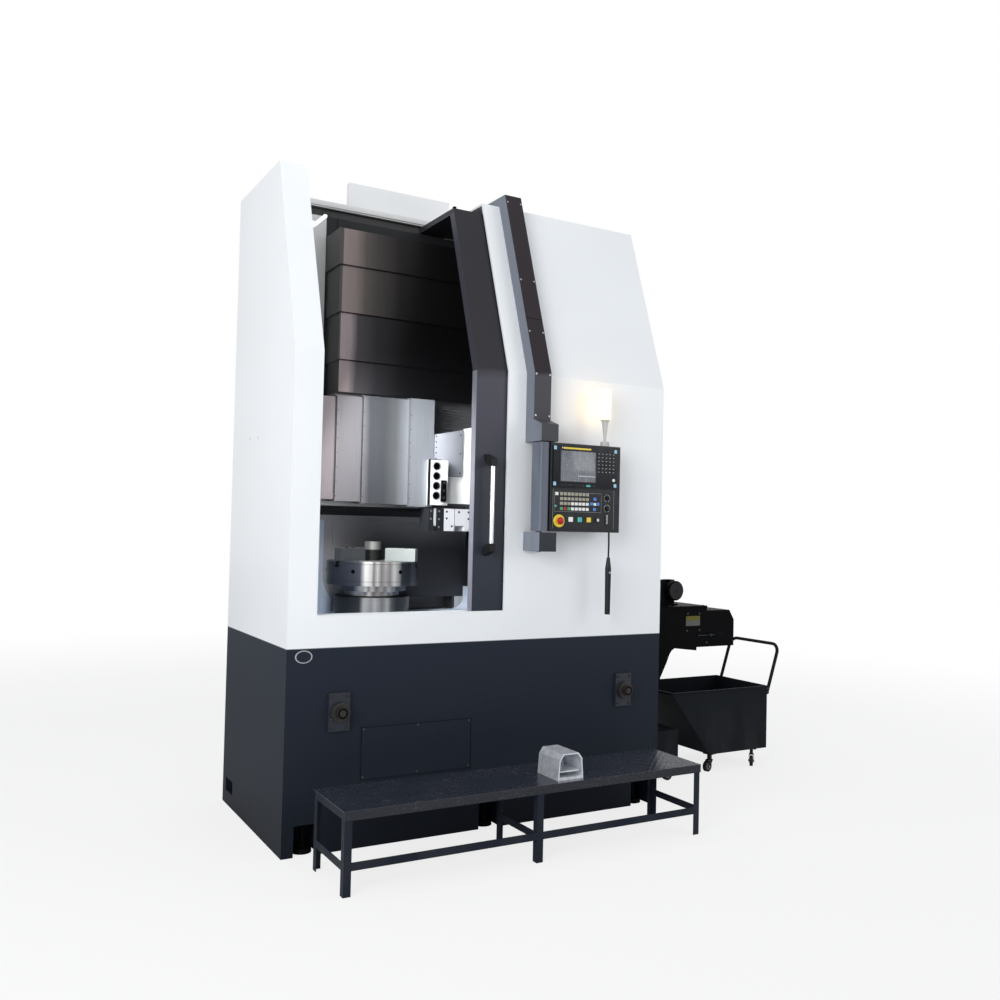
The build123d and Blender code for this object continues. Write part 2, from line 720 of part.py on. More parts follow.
# Grey tub: floor turned up with round corners, and an upright frame with a flared foot
def make_tub():
    left, right = OPENING_LEFT, WORK_RIGHT
    inner_left, inner_right = left + TUB_WALL, right - TUB_WALL
    bend = TUB_FLOOR + TUB_CORNER
    with BuildPart() as tub:
        with BuildSketch(front_plane(SILL_BACK)):
            with BuildLine():
                Polyline(
                    (inner_left, bend),
                    (inner_left, TUB_RIM),
                    (left, TUB_RIM),
                    (left, BASE_HEIGHT),
                    (right, BASE_HEIGHT),
                    (right, TUB_RIM),
                    (inner_right, TUB_RIM),
                    (inner_right, bend),
                )
                RadiusArc((inner_right, bend), (inner_right - TUB_CORNER, TUB_FLOOR), TUB_CORNER)
                Line((inner_right - TUB_CORNER, TUB_FLOOR), (inner_left + TUB_CORNER, TUB_FLOOR))
                RadiusArc((inner_left + TUB_CORNER, TUB_FLOOR), (inner_left, bend), TUB_CORNER)
            make_face()
        extrude(amount=-(TUB_BACK - SILL_BACK))
        frame_right = left + FRAME_WIDTH
        flare = TUB_FLOOR + CHUTE_HEIGHT
        with BuildSketch(front_plane(TUB_BACK)):
            with BuildLine():
                Polyline(
                    (frame_right, flare + TUB_DEPTH),
                    (frame_right, LEDGE_HEIGHT - FOOT_SLOPE),
                    (inner_left, LEDGE_HEIGHT - FOOT_SLOPE),
                    (inner_left, TUB_FLOOR),
                    (GUARD_LEFT, TUB_FLOOR),
                    (GUARD_LEFT, flare),
                )
                ThreePointArc(
                    (GUARD_LEFT, flare),
                    (GUARD_LEFT - 32, flare + TUB_DEPTH / 3),
                    (frame_right, flare + TUB_DEPTH),
                )
            make_face()
        extrude(amount=FRAME_THICKNESS)
    save(tub, "chip_tub")


# Folded beam across the back of the roof opening
def make_roof_beam():
    low = COLUMN_TOP
    face_low = TOP_HEIGHT - BEAM_FACE
    step = BEAM_STEP
    with BuildPart() as roof_beam:
        outline = [
            (BEAM_FRONT + 3 * step, low),
            (BEAM_FRONT + 3 * step, face_low),
            (BEAM_FRONT + step, face_low),
            (BEAM_FRONT + step, face_low + step),
            (BEAM_FRONT, face_low + 1.4 * step),
            (BEAM_FRONT, TOP_HEIGHT - 1.4 * step),
            (BEAM_FRONT + 0.6 * step, TOP_HEIGHT - step),
            (BEAM_FRONT + 0.6 * step, TOP_HEIGHT),
            (BEAM_BACK, TOP_HEIGHT),
            (BEAM_BACK, low),
        ]
        extrude(side_face(OPENING_LEFT, outline), amount=OPENING_WIDTH)
    save(roof_beam, "roof_beam")


# Work lamp: a lit bar held off the left wall by a plate
def make_work_lamp():
    top = TOP_HEIGHT - LAMP_BAR_DROP
    right = OPENING_LEFT + LAMP_BAR_REACH + LAMP_BAR_WIDTH
    back = LAMP_BAR_FRONT + LAMP_BAR_LENGTH
    with BuildPart() as work_lamp:
        bar = rectangle(OPENING_LEFT + LAMP_BAR_REACH, top - LAMP_BAR_HEIGHT, right, top)
        extrude(front_face(LAMP_BAR_FRONT, bar), amount=-LAMP_BAR_LENGTH)
        arm = rectangle(OPENING_LEFT, top, right, top + LAMP_PLATE)
        extrude(front_face(back - 60, arm), amount=-60)
        foot = rectangle(OPENING_LEFT, top, OPENING_LEFT + LAMP_PLATE, top + 60)
        extrude(front_face(back - 60, foot), amount=-60)
    save(work_lamp, "work_lamp")


# Drum that carries the spindle: the chuck's shaft sits in its top
def make_spindle_drum():
    with BuildPart() as spindle_drum:
        extrude(level_disc(0, 0, TUB_FLOOR, DRUM_DIAMETER / 2), amount=DRUM_HEIGHT)
        well = level_disc(0, 0, DRUM_TOP, SPINDLE_RADIUS + SEAT_GAP)
        extrude(well, amount=-SPINDLE_DEPTH, mode=Mode.SUBTRACT)
    save(spindle_drum, "spindle_drum")


def slot_outline(gap):
    """Half section of a jaw's T-shaped slot, made smaller by a gap; (across, z) points."""
    low = CHUCK_TOP - SLOT_DEPTH + gap
    foot = CHUCK_TOP - SLOT_DEPTH + SLOT_FOOT_HEIGHT - gap
    wide = SLOT_FOOT_WIDTH / 2 - gap
    narrow = SLOT_WIDTH / 2 - gap
    top = CHUCK_TOP + SEAT_GAP
    right = [(wide, low), (wide, foot), (narrow, foot), (narrow, top)]
    left = [(-across, height) for across, height in reversed(right)]
    return right + left


def cross_plane(index, radius):
    """Upright plane square to one jaw, at a radius from the spindle axis."""
    angle = radians(JAW_FIRST_ANGLE + 120 * index)
    out = (cos(angle), sin(angle), 0)
    place = (radius * out[0], radius * out[1], 0)
    return Plane(place, x_dir=(-out[1], out[0], 0), z_dir=out)


# Chuck: turned body with a stepped underside, three T-slots and a round centre piece
def make_chuck():
    rim = CHUCK_DIAMETER / 2
    ring = RING_DIAMETER / 2
    shaft_bottom = DRUM_TOP - SPINDLE_DEPTH + 2
    with BuildPart() as chuck_body:
        with BuildSketch(Plane.XZ):
            with BuildLine():
                Polyline(
                    (0, shaft_bottom),
                    (SPINDLE_RADIUS, shaft_bottom),
                    (SPINDLE_RADIUS, DRUM_TOP + CLEARANCE),
                    (NECK_DIAMETER / 2, DRUM_TOP + CLEARANCE),
                    (NECK_DIAMETER / 2, RING_BOTTOM),
                    (ring, RING_BOTTOM),
                    (ring, CHUCK_BOTTOM),
                    (rim, CHUCK_BOTTOM),
                    (rim, CHUCK_TOP - 6),
                    (rim - 6, CHUCK_TOP),
                    (0, CHUCK_TOP),
                    close=True,
                )
            make_face()
        revolve(axis=Axis.Z)
        for index in range(3):
            face = flat_face(cross_plane(index, JAW_INNER), slot_outline(0))
            extrude(face, amount=CHUCK_DIAMETER / 2, mode=Mode.SUBTRACT)
        extrude(level_disc(0, 0, CHUCK_TOP, CENTER_DIAMETER / 2), amount=CENTER_HEIGHT)
    save(chuck_body, "chuck_body")


def make_jaw(index):
    """Square jaw on a T-shaped foot that runs in its chuck slot."""
    low = CHUCK_TOP + SEAT_GAP
    with BuildPart() as jaw:
        body = rectangle(JAW_INNER, low, JAW_INNER + JAW_LENGTH, low + JAW_HEIGHT)
        extrude(flat_face(radial_plane(index), body), amount=JAW_WIDTH / 2, both=True)
        chamfer(jaw.faces().sort_by(Axis.Z)[-1].edges(), JAW_CHAMFER)
        foot = flat_face(cross_plane(index, JAW_INNER + 18), slot_outline(SEAT_GAP * 2))
        extrude(foot, amount=JAW_LENGTH - 40)
    save(jaw, f"chuck_jaw_{index + 1}")


# Cross rail that climbs the column, with two guideways for the tool head
def make_cross_rail():
    inner_left = Z_COVER_LEFT + 3 * Z_COVER_STEP + Z_COVER_SHEET
    inner_right = Z_COVER_RIGHT - 3 * Z_COVER_STEP - Z_COVER_SHEET
    with BuildPart() as cross_rail:
        beam = rectangle(RAIL_FRONT, RAIL_BOTTOM, RAIL_BACK, RAIL_TOP)
        extrude(side_face(RAIL_LEFT, beam), amount=RAIL_RIGHT - RAIL_LEFT)
        for rise in GUIDEWAY_RISES:
            low = RAIL_BOTTOM + rise
            guideway = rectangle(HEAD_BACK + SEAT_GAP, low, RAIL_FRONT, low + GUIDEWAY_WIDTH)
            extrude(side_face(RAIL_LEFT, guideway), amount=RAIL_RIGHT - RAIL_LEFT)
        neck = rectangle(RAIL_FRONT, RAIL_TOP, RAIL_BACK, RAIL_NECK_TOP)
        extrude(side_face(inner_left, neck), amount=inner_right - inner_left)
    save(cross_rail, "cross_rail")


def z_cover_limits():
    """Lower and upper end of each upright cover, the topmost first."""
    low = RAIL_TOP + Z_COVER_START
    limits = [(low, low + Z_COVER_LAST)]
    for _ in range(2):
        low = limits[0][1] - Z_COVER_LAP
        limits.insert(0, (low, low + Z_COVER_HEIGHT))
    limits.insert(0, (limits[0][1] - Z_COVER_LAP, COLUMN_TOP - Z_COVER_HEADROOM))
    return limits


# Upright telescopic covers: each one is a bent sheet, the topmost outside the rest
def make_z_cover(index):
    low, high = z_cover_limits()[index]
    step = index * Z_COVER_STEP
    left, right = Z_COVER_LEFT + step, Z_COVER_RIGHT - step
    front = Z_COVER_FRONT + step
    back = (COLUMN_FRONT, COLUMN_FRONT - SEAT_GAP, COLUMN_FRONT - SEAT_GAP, RAIL_BACK)[index]
    sheet = Z_COVER_SHEET
    with BuildPart() as z_cover:
        outline = [
            (left, back),
            (left, front),
            (right, front),
            (right, back),
            (right - sheet, back),
            (right - sheet, front + sheet),
            (left + sheet, front + sheet),
            (left + sheet, back),
        ]
        extrude(level_face(low, outline), amount=high - low)
        lip = rectangle(front - Z_COVER_LIP_DEPTH, low, front, low + Z_COVER_LIP_HEIGHT)
        extrude(side_face(left, lip), amount=right - left)
    save(z_cover, f"z_cover_{index + 1}")


def x_cover_limits():
    """Left and right end of each level cover, from the rail's left end to the head."""
    limits = []
    right = HEAD_LEFT
    for width, lap in zip(reversed(X_COVER_WIDTHS), reversed(X_COVER_LAPS)):
        limits.insert(0, (right - width, right))
        right = right - width + lap
    limits.insert(0, (RAIL_LEFT, right))
    return limits


# Level telescopic covers: each one steps out over the one on its left
def make_x_cover(index):
    left, right = x_cover_limits()[index]
    step = index * X_COVER_STEP
    front = X_COVER_FRONT - step
    back = (RAIL_FRONT, RAIL_FRONT - SEAT_GAP, RAIL_FRONT - SEAT_GAP, HEAD_BACK - 2)[index]
    low, high = X_COVER_BOTTOM - step, X_COVER_TOP + step
    sheet = X_COVER_SHEET
    with BuildPart() as x_cover:
        outline = [
            (back, low),
            (front, low),
            (front, high),
            (back, high),
            (back, high - sheet),
            (front + sheet, high - sheet),
            (front + sheet, low + sheet),
            (back, low + sheet),
        ]
        extrude(side_face(left, outline), amount=right - left)
    save(x_cover, f"x_cover_{index + 1}")


# Tool head: cast body with a slanted top and a stepped front, on the rail's guideways
def make_tool_head():
    with BuildPart() as tool_head:
        outline = [
            (HEAD_LEFT, HEAD_BOTTOM),
            (HEAD_RIGHT, HEAD_BOTTOM),
            (HEAD_RIGHT, HEAD_TOP + HEAD_SLOPE),
            (HEAD_LEFT, HEAD_TOP),
        ]
        extrude(front_face(HEAD_FRONT, outline), amount=-(HEAD_BACK - HEAD_FRONT))
        boss = [
            (BLOCK_LEFT + BLOCK_WIDTH + CLEARANCE, HEAD_BOTTOM),
            (HEAD_RIGHT, HEAD_BOTTOM),
            (HEAD_RIGHT, HEAD_TOP + HEAD_SLOPE),
            (HEAD_LEFT + HEAD_STEP, HEAD_TOP + HEAD_SLOPE * HEAD_STEP / HEAD_WIDTH),
            (HEAD_LEFT + HEAD_STEP, BLOCK_TOP - HEAD_STEP / 2),
            (BLOCK_LEFT + BLOCK_WIDTH + CLEARANCE, BLOCK_TOP - HEAD_STEP / 2),
        ]
        extrude(front_face(HEAD_FRONT, boss), amount=HEAD_STEP_DEPTH)
        plate = rectangle(HEAD_LEFT, HOLDER_TOP, HEAD_RIGHT - 62, HEAD_BOTTOM)
        extrude(front_face(HEAD_FRONT + 10, plate), amount=HEAD_FRONT)
    save(tool_head, "tool_head")


# Block with four bores for round tool shanks, and the clamp strip beside them
def make_tool_block():
    front = HEAD_FRONT - BLOCK_DEPTH
    with BuildPart() as tool_block:
        outline = rectangle(BLOCK_LEFT, BLOCK_BOTTOM, BLOCK_LEFT + BLOCK_WIDTH, BLOCK_TOP)
        extrude(front_face(HEAD_FRONT, outline), amount=BLOCK_DEPTH)
        for index in range(BORE_COUNT):
            z = BLOCK_TOP - BORE_DROP - index * BORE_PITCH
            bore = upright_disc(BORE_X, front, z, BORE_DIAMETER / 2)
            extrude(bore, amount=-BLOCK_DEPTH, mode=Mode.SUBTRACT)
    save(tool_block, "tool_block")


# Lower holders: a dark one with an upright groove, and a bright one with a notch
def make_tool_holders():
    middle = HOLDER_LEFT + DARK_HOLDER_WIDTH / 2
    bright_left = HOLDER_LEFT + DARK_HOLDER_WIDTH + HOLDER_GAP
    bright_right = bright_left + BRIGHT_HOLDER_WIDTH
    notch_left = bright_left + NOTCH_INSET
    with BuildPart() as tool_holders:
        dark = rectangle(HOLDER_LEFT, HOLDER_BOTTOM, HOLDER_LEFT + DARK_HOLDER_WIDTH, HOLDER_TOP)
        extrude(front_face(HOLDER_FRONT, dark), amount=-HOLDER_DEPTH)
        groove = rectangle(middle - GROOVE_WIDTH / 2, HOLDER_BOTTOM, middle + GROOVE_WIDTH / 2, HOLDER_TOP)
        extrude(front_face(HOLDER_FRONT, groove), amount=-GROOVE_DEPTH, mode=Mode.SUBTRACT)
        bright = [
            (bright_left, HOLDER_BOTTOM),
            (notch_left, HOLDER_BOTTOM),
            (notch_left, HOLDER_BOTTOM + NOTCH_HEIGHT),
            (notch_left + NOTCH_WIDTH, HOLDER_BOTTOM + NOTCH_HEIGHT),
            (notch_left + NOTCH_WIDTH, HOLDER_BOTTOM),
            (bright_right, HOLDER_BOTTOM),
            (bright_right, HOLDER_TOP),
            (bright_left, HOLDER_TOP),
        ]
        extrude(front_face(HOLDER_FRONT, bright), amount=-HOLDER_DEPTH)
    save(tool_holders, "tool_holders")


# Sliding door: kinked front leaf with a roof return, on two feet in the track
def make_door():
    roof_low = DOOR_TOP - DOOR_ROOF_THICKNESS
    inset = DOOR_INSET + DOOR_THICKNESS
    with BuildPart() as door:
        outline = [
            (front_y(DOOR_BOTTOM, DOOR_INSET), DOOR_BOTTOM),
            (front_y(KNEE_HEIGHT, DOOR_INSET), KNEE_HEIGHT),
            (front_y(DOOR_TOP, DOOR_INSET), DOOR_TOP),
            (DOOR_ROOF_BACK, DOOR_TOP),
            (DOOR_ROOF_BACK, roof_low),
            (front_y(roof_low, inset), roof_low),
            (front_y(KNEE_HEIGHT, inset), KNEE_HEIGHT),
            (front_y(DOOR_BOTTOM, inset), DOOR_BOTTOM),
        ]
        extrude(side_face(DOOR_LEFT, outline), amount=DOOR_WIDTH)
        foot = rectangle(
            FRONT + DOOR_INSET + 10,
            DOOR_TRACK + SEAT_GAP,
            FRONT + DOOR_INSET + DOOR_THICKNESS - 10,
            DOOR_BOTTOM,
        )
        last_foot = DOOR_LEFT + DOOR_WIDTH - DOOR_FOOT_INSET - DOOR_FOOT_LENGTH
        for x in (DOOR_LEFT + DOOR_FOOT_INSET, last_foot):
            extrude(side_face(x, foot), amount=DOOR_FOOT_LENGTH)
    save(door, "door_panel")


# Pull handle: a straight tube on two brackets that slope back from its ends to the door
def make_door_handle():
    face = FRONT + DOOR_INSET
    tube_x = DOOR_LEFT + HANDLE_INSET
    tube_y = face - HANDLE_STANDOFF
    low = DOOR_BOTTOM + HANDLE_RISE
    high = low + HANDLE_LENGTH
    half = HANDLE_BRACKET_WIDTH / 2
    with BuildPart() as door_handle:
        extrude(level_disc(tube_x, tube_y, low, HANDLE_RADIUS), amount=HANDLE_LENGTH)
        for inner, direction in ((high, 1), (low, -1)):
            outline = [
                (tube_y - half, inner),
                (tube_y - half, inner + direction * HANDLE_BRACKET_LIP),
                (face, inner + direction * HANDLE_BRACKET_RISE),
                (face, inner + direction * (HANDLE_BRACKET_RISE - HANDLE_BRACKET_WIDTH)),
                (tube_y + half, inner),
            ]
            extrude(side_face(tube_x - half, outline), amount=HANDLE_BRACKET_WIDTH)
    save(door_handle, "door_handle")


# Pendant arm: kinked channel that climbs over the roof edge, with two pivot brackets
def make_arm():
    over = TOP_HEIGHT + SEAT_GAP
    roof_end = FRONT + TOP_SETBACK + ARM_ROOF_REACH
    with BuildPart() as pendant_arm:
        channel = [
            (FRONT, ARM_BOTTOM),
            (FRONT, KNEE_HEIGHT),
            (front_y(over), over),
            (roof_end, over),
            (roof_end, ARM_TOP),
            (front_y(ARM_TOP, -ARM_DEPTH), ARM_TOP),
            (FRONT - ARM_DEPTH, KNEE_HEIGHT),
            (FRONT - ARM_DEPTH, ARM_BOTTOM),
        ]
        upper_bracket = [
            (FRONT, ARM_BOTTOM),
            (FRONT - ARM_DEPTH, ARM_BOTTOM),
            (FRONT - BRACKET_DEPTH, ARM_BOTTOM - BRACKET_CHAMFER),
            (FRONT - BRACKET_DEPTH, UPPER_BRACKET_BOTTOM),
            (FRONT, UPPER_BRACKET_BOTTOM),
        ]
        lower_bracket = rectangle(FRONT, LOWER_BRACKET_BOTTOM, FRONT - BRACKET_DEPTH, LOWER_BRACKET_TOP)
        for points in (channel, upper_bracket, lower_bracket):
            extrude(side_face(ARM_LEFT, points), amount=ARM_WIDTH)
        low = LOWER_BRACKET_TOP - PIVOT_PIN_LENGTH
        high = UPPER_BRACKET_BOTTOM + PIVOT_PIN_LENGTH
        bore = level_disc(PIVOT_X, PIVOT_Y, low, PIVOT_PIN_RADIUS + SEAT_GAP)
        extrude(bore, amount=high - low, mode=Mode.SUBTRACT)
    save(pendant_arm, "pendant_arm")


# Swivel column with a pin at each end, held between the arm's brackets
def make_swivel_column():
    low = LOWER_BRACKET_TOP + CLEARANCE
    high = UPPER_BRACKET_BOTTOM - CLEARANCE
    with BuildPart() as swivel_column:
        with BuildSketch(Plane.XY.offset(low)):
            with Locations((PIVOT_X, PIVOT_Y)):
                RectangleRounded(SWIVEL_WIDTH, SWIVEL_DEPTH, SWIVEL_CORNER)
        extrude(amount=high - low)
        pin = level_disc(PIVOT_X, PIVOT_Y, low - PIVOT_PIN_LENGTH, PIVOT_PIN_RADIUS)
        extrude(pin, amount=high - low + 2 * PIVOT_PIN_LENGTH)
    save(swivel_column, "swivel_column")


# Pendant box: display above, key panel below, and the collar of the emergency button
def make_pendant_box():
    face_left = PENDANT_LEFT + PENDANT_MARGIN
    face_right = PENDANT_RIGHT - PENDANT_RIGHT_MARGIN
    display_top = PENDANT_TOP - PENDANT_MARGIN
    keys_low = PENDANT_BOTTOM + PENDANT_MARGIN
    collar_front = PENDANT_FRONT - KEYBOARD_DEPTH
    with BuildPart() as pendant_box:
        outline = rectangle(PENDANT_LEFT, PENDANT_BOTTOM, PENDANT_RIGHT, PENDANT_TOP)
        extrude(front_face(PENDANT_FRONT, outline), amount=-PENDANT_DEPTH)
        display = rectangle(face_left, display_top - DISPLAY_HEIGHT, face_right, display_top)
        extrude(front_face(PENDANT_FRONT, display), amount=DISPLAY_DEPTH)
        keys = rectangle(face_left, keys_low, face_right, keys_low + KEYBOARD_HEIGHT)
        extrude(front_face(PENDANT_FRONT, keys), amount=KEYBOARD_DEPTH)
        collar = upright_disc(ESTOP_X, collar_front, ESTOP_Z, ESTOP_COLLAR_RADIUS)
        extrude(collar, amount=ESTOP_COLLAR_HEIGHT)
        well_front = collar_front - ESTOP_COLLAR_HEIGHT
        well = upright_disc(ESTOP_X, well_front, ESTOP_Z, ESTOP_STEM_RADIUS + SEAT_GAP)
        extrude(well, amount=-ESTOP_WELL, mode=Mode.SUBTRACT)
    save(pendant_box, "pendant_box")


def make_emergency_button():
    face = PENDANT_FRONT - KEYBOARD_DEPTH - ESTOP_COLLAR_HEIGHT - ESTOP_LIFT
    with BuildPart() as estop:
        extrude(upright_disc(ESTOP_X, face, ESTOP_Z, ESTOP_RADIUS), amount=ESTOP_HEIGHT)
        stem = upright_disc(ESTOP_X, face, ESTOP_Z, ESTOP_STEM_RADIUS)
        extrude(stem, amount=-ESTOP_STEM_LENGTH)
    save(estop, "emergency_button")


# Signal lamp: base, thin pole and a tall round lens
def make_signal_lamp():
    y = PENDANT_FRONT + LAMP_BACKSET
    pole_top = PENDANT_TOP + LAMP_BASE_HEIGHT + LAMP_POLE_HEIGHT
    with BuildPart() as lamp:
        extrude(level_disc(LAMP_X, y, PENDANT_TOP, LAMP_BASE_RADIUS), amount=LAMP_BASE_HEIGHT)
        pole = level_disc(LAMP_X, y, PENDANT_TOP + LAMP_BASE_HEIGHT, LAMP_POLE_RADIUS)
        extrude(pole, amount=LAMP_POLE_HEIGHT)
        extrude(level_disc(LAMP_X, y, pole_top, LAMP_RADIUS), amount=LAMP_HEIGHT)
    save(lamp, "signal_lamp")


# Hand unit that hangs from the pendant by a short cord: turned body with a collar
def make_hand_unit():
    x = PENDANT_RIGHT - HAND_UNIT_INSET
    y = PENDANT_FRONT + LAMP_BACKSET
    top = PENDANT_BOTTOM - HAND_CORD_LENGTH
    low = top - HAND_UNIT_LENGTH
    radius = HAND_UNIT_RADIUS
    with BuildPart() as hand_unit:
        with BuildSketch(Plane((x, y, 0), x_dir=(1, 0, 0), z_dir=(0, -1, 0))):
            with BuildLine():
                Polyline(
                    (0, low),
                    (radius, low),
                    (radius + 2, top - 100),
                    (radius + 2, top - 62),
                    (radius - 6, top),
                    (0, top),
                    close=True,
                )
            make_face()
        revolve(axis=Axis((x, y, 0), (0, 0, 1)))
    save(hand_unit, "hand_unit")
    with BuildPart() as hand_cord:
        extrude(level_disc(x, y, top, HAND_CORD_RADIUS), amount=HAND_CORD_LENGTH)
    save(hand_cord, "hand_unit_cord")


# Chip conveyor: inclined leg, bent into a head box with a stepped cover and a lip
def make_conveyor():
    under = CONVEYOR_UNDERSIDE
    top = CONVEYOR_TOP
    right = CONVEYOR_RIGHT
    head_left = right - CONVEYOR_HEAD_LENGTH
    lip_right = head_left + CONVEYOR_LIP_LENGTH
    step_x = right - CONVEYOR_STEP
    with BuildPart() as conveyor:
        outline = [
            (RIGHT + SEAT_GAP, TANK_TOP + SEAT_GAP),
            (RIGHT + CONVEYOR_LEG_LENGTH, TANK_TOP + SEAT_GAP),
            (head_left - CONVEYOR_BEND, under - 1.5 * CONVEYOR_BEND),
            (head_left - 0.6 * CONVEYOR_BEND, under - 0.6 * CONVEYOR_BEND),
            (head_left - 0.3 * CONVEYOR_BEND, under - 0.2 * CONVEYOR_BEND),
            (head_left + 4, under),
            (lip_right, under - CONVEYOR_LIP_DROP),
            (lip_right, under),
            (right, under),
            (right, top - CONVEYOR_STEP_HEIGHT - CONVEYOR_NOSE_HEIGHT),
            (right - CONVEYOR_NOSE, top - CONVEYOR_STEP_HEIGHT),
            (step_x, top - CONVEYOR_STEP_HEIGHT),
            (step_x, top),
            (right - CONVEYOR_CREST, top),
            (RIGHT + SEAT_GAP, top - CONVEYOR_CREST_DROP),
        ]
        extrude(front_face(CONVEYOR_FRONT, outline), amount=-CONVEYOR_WIDTH)
    save(conveyor, "conveyor_body")


# Gear motor on the head box: finned body, fan cowl, feet and a reducer block
def make_conveyor_motor():
    x = CONVEYOR_RIGHT - MOTOR_INSET
    z = CONVEYOR_TOP + MOTOR_RISE
    back = MOTOR_FRONT + MOTOR_LENGTH
    with BuildPart() as motor:
        extrude(upright_disc(x, back, z, MOTOR_CORE_RADIUS), amount=MOTOR_LENGTH)
        extrude(upright_disc(x, MOTOR_FRONT + MOTOR_COWL, z, MOTOR_RADIUS), amount=MOTOR_COWL)
        chamfer(motor.edges().group_by(Axis.Y)[0], 7)
        with BuildSketch(front_plane(back)):
            with Locations((x, z)):
                with PolarLocations((MOTOR_RADIUS + MOTOR_CORE_RADIUS) / 2 - 3, MOTOR_FINS):
                    Rectangle(MOTOR_RADIUS - MOTOR_CORE_RADIUS + 4, MOTOR_FIN_THICKNESS)
        extrude(amount=MOTOR_LENGTH - MOTOR_COWL)
        foot = rectangle(x - MOTOR_CORE_RADIUS, CONVEYOR_TOP, x + MOTOR_CORE_RADIUS, CONVEYOR_TOP + 10)
        extrude(front_face(back - 20, foot), amount=MOTOR_LENGTH - 70)
        for leg_x in (x - 34, x + 24):
            leg = rectangle(leg_x, CONVEYOR_TOP, leg_x + 10, z)
            extrude(front_face(back - 30, leg), amount=MOTOR_LENGTH - 90)
        gear_right = x - MOTOR_RADIUS + 4
        gear = rectangle(gear_right - GEARBOX_WIDTH, CONVEYOR_TOP, gear_right, CONVEYOR_TOP + GEARBOX_HEIGHT)
        extrude(front_face(back, gear), amount=MOTOR_LENGTH - MOTOR_COWL)
        neck = rectangle(gear_right, z - 30, x, z + 30)
        extrude(front_face(back, neck), amount=MOTOR_LENGTH - 2 * MOTOR_COWL)
    save(motor, "conveyor_motor")


def make_tank():
    with BuildPart() as tank:
        outline = rectangle(TANK_LEFT, TANK_CLEARANCE, TANK_RIGHT, TANK_TOP)
        extrude(front_face(TANK_FRONT, outline), amount=-TANK_WIDTH)
    save(tank, "coolant_tank")


def caster(top):
    """Swivel caster under a floor at a height: plate, two cheeks, hexagon axle and wheel."""
    half = CASTER_WIDTH / 2
    with BuildPart() as unit:
        plate = rectangle(-CASTER_PLATE / 2, -CASTER_PLATE / 2, CASTER_PLATE / 2, CASTER_PLATE / 2)
        extrude(level_face(top - 5, plate), amount=5)
        swivel = rectangle(-half, -half, half, half)
        extrude(level_face(CASTER_RADIUS * 2 + 3, swivel), amount=top - CASTER_RADIUS * 2 - 6)
        cheek = [
            (-CASTER_TRAIL - 9, CASTER_RADIUS - 10),
            (-CASTER_TRAIL + 9, CASTER_RADIUS - 10),
            (18, CASTER_RADIUS * 2 + 3),
            (18, CASTER_RADIUS * 2 + 7),
            (-18, CASTER_RADIUS * 2 + 7),
            (-24, CASTER_RADIUS * 2 + 3),
        ]
        for y in (-half - 2, half + 2 + CASTER_CHEEK):
            extrude(front_face(y, cheek), amount=CASTER_CHEEK)
        bridge = rectangle(-18, CASTER_RADIUS * 2 + 3, 18, CASTER_RADIUS * 2 + 7)
        extrude(front_face(half + 2, bridge), amount=CASTER_WIDTH + 4)
        extrude(upright_disc(-CASTER_TRAIL, half, CASTER_RADIUS, CASTER_RADIUS), amount=CASTER_WIDTH)
        with BuildSketch(front_plane(half + 2)):
            with Locations((-CASTER_TRAIL, CASTER_RADIUS)):
                RegularPolygon(7, 6)
        extrude(amount=CASTER_WIDTH + 4)
    return unit.part


# Casters under the tank and the cart, each turned its own way
def make_casters():
    inset = CASTER_INSET
    tank_spots = [
        (TANK_LEFT + 110, TANK_FRONT + inset, 0),
        (TANK_RIGHT - inset + 4, TANK_FRONT + inset, 0),
        (TANK_LEFT + 110, TANK_FRONT + TANK_WIDTH - inset, 0),
        (TANK_RIGHT - inset + 4, TANK_FRONT + TANK_WIDTH - inset, 0),
    ]
    cart_spots = [
        (CART_FLOOR_LEFT + inset - 4, CART_FRONT + inset, 12),
        (CART_RIGHT - 2 * inset - 26, CART_FRONT + inset, 45),
        (CART_FLOOR_LEFT + inset, CART_BACK - inset, 15),
        (CART_RIGHT - 2 * inset - 26, CART_BACK - inset, 60),
    ]
    with BuildPart() as casters:
        for spots, top in ((tank_spots, TANK_CLEARANCE), (cart_spots, CART_FLOOR)):
            unit = caster(top)
            with Locations(*[Location((x, y, 0), (0, 0, turn)) for x, y, turn in spots]):
                add(unit)
    save(casters, "casters")


# Cart: sheet bin with one sloping end
def make_cart_bin():
    with BuildPart() as cart_bin:
        outer = [
            (CART_FLOOR_LEFT, CART_FLOOR),
            (CART_RIGHT, CART_FLOOR),
            (CART_RIGHT, CART_TOP),
            (CART_LEFT, CART_TOP),
        ]
        inner = [
            (CART_FLOOR_LEFT + CART_SHEET, CART_FLOOR + CART_SHEET),
            (CART_RIGHT - CART_SHEET, CART_FLOOR + CART_SHEET),
            (CART_RIGHT - CART_SHEET, CART_TOP + 1),
            (CART_LEFT + CART_SHEET, CART_TOP + 1),
        ]
        extrude(front_face(CART_FRONT, outer), amount=-CART_WIDTH)
        cavity = front_face(CART_FRONT + CART_SHEET, inner)
        extrude(cavity, amount=-(CART_WIDTH - 2 * CART_SHEET), mode=Mode.SUBTRACT)
    save(cart_bin, "cart_bin")


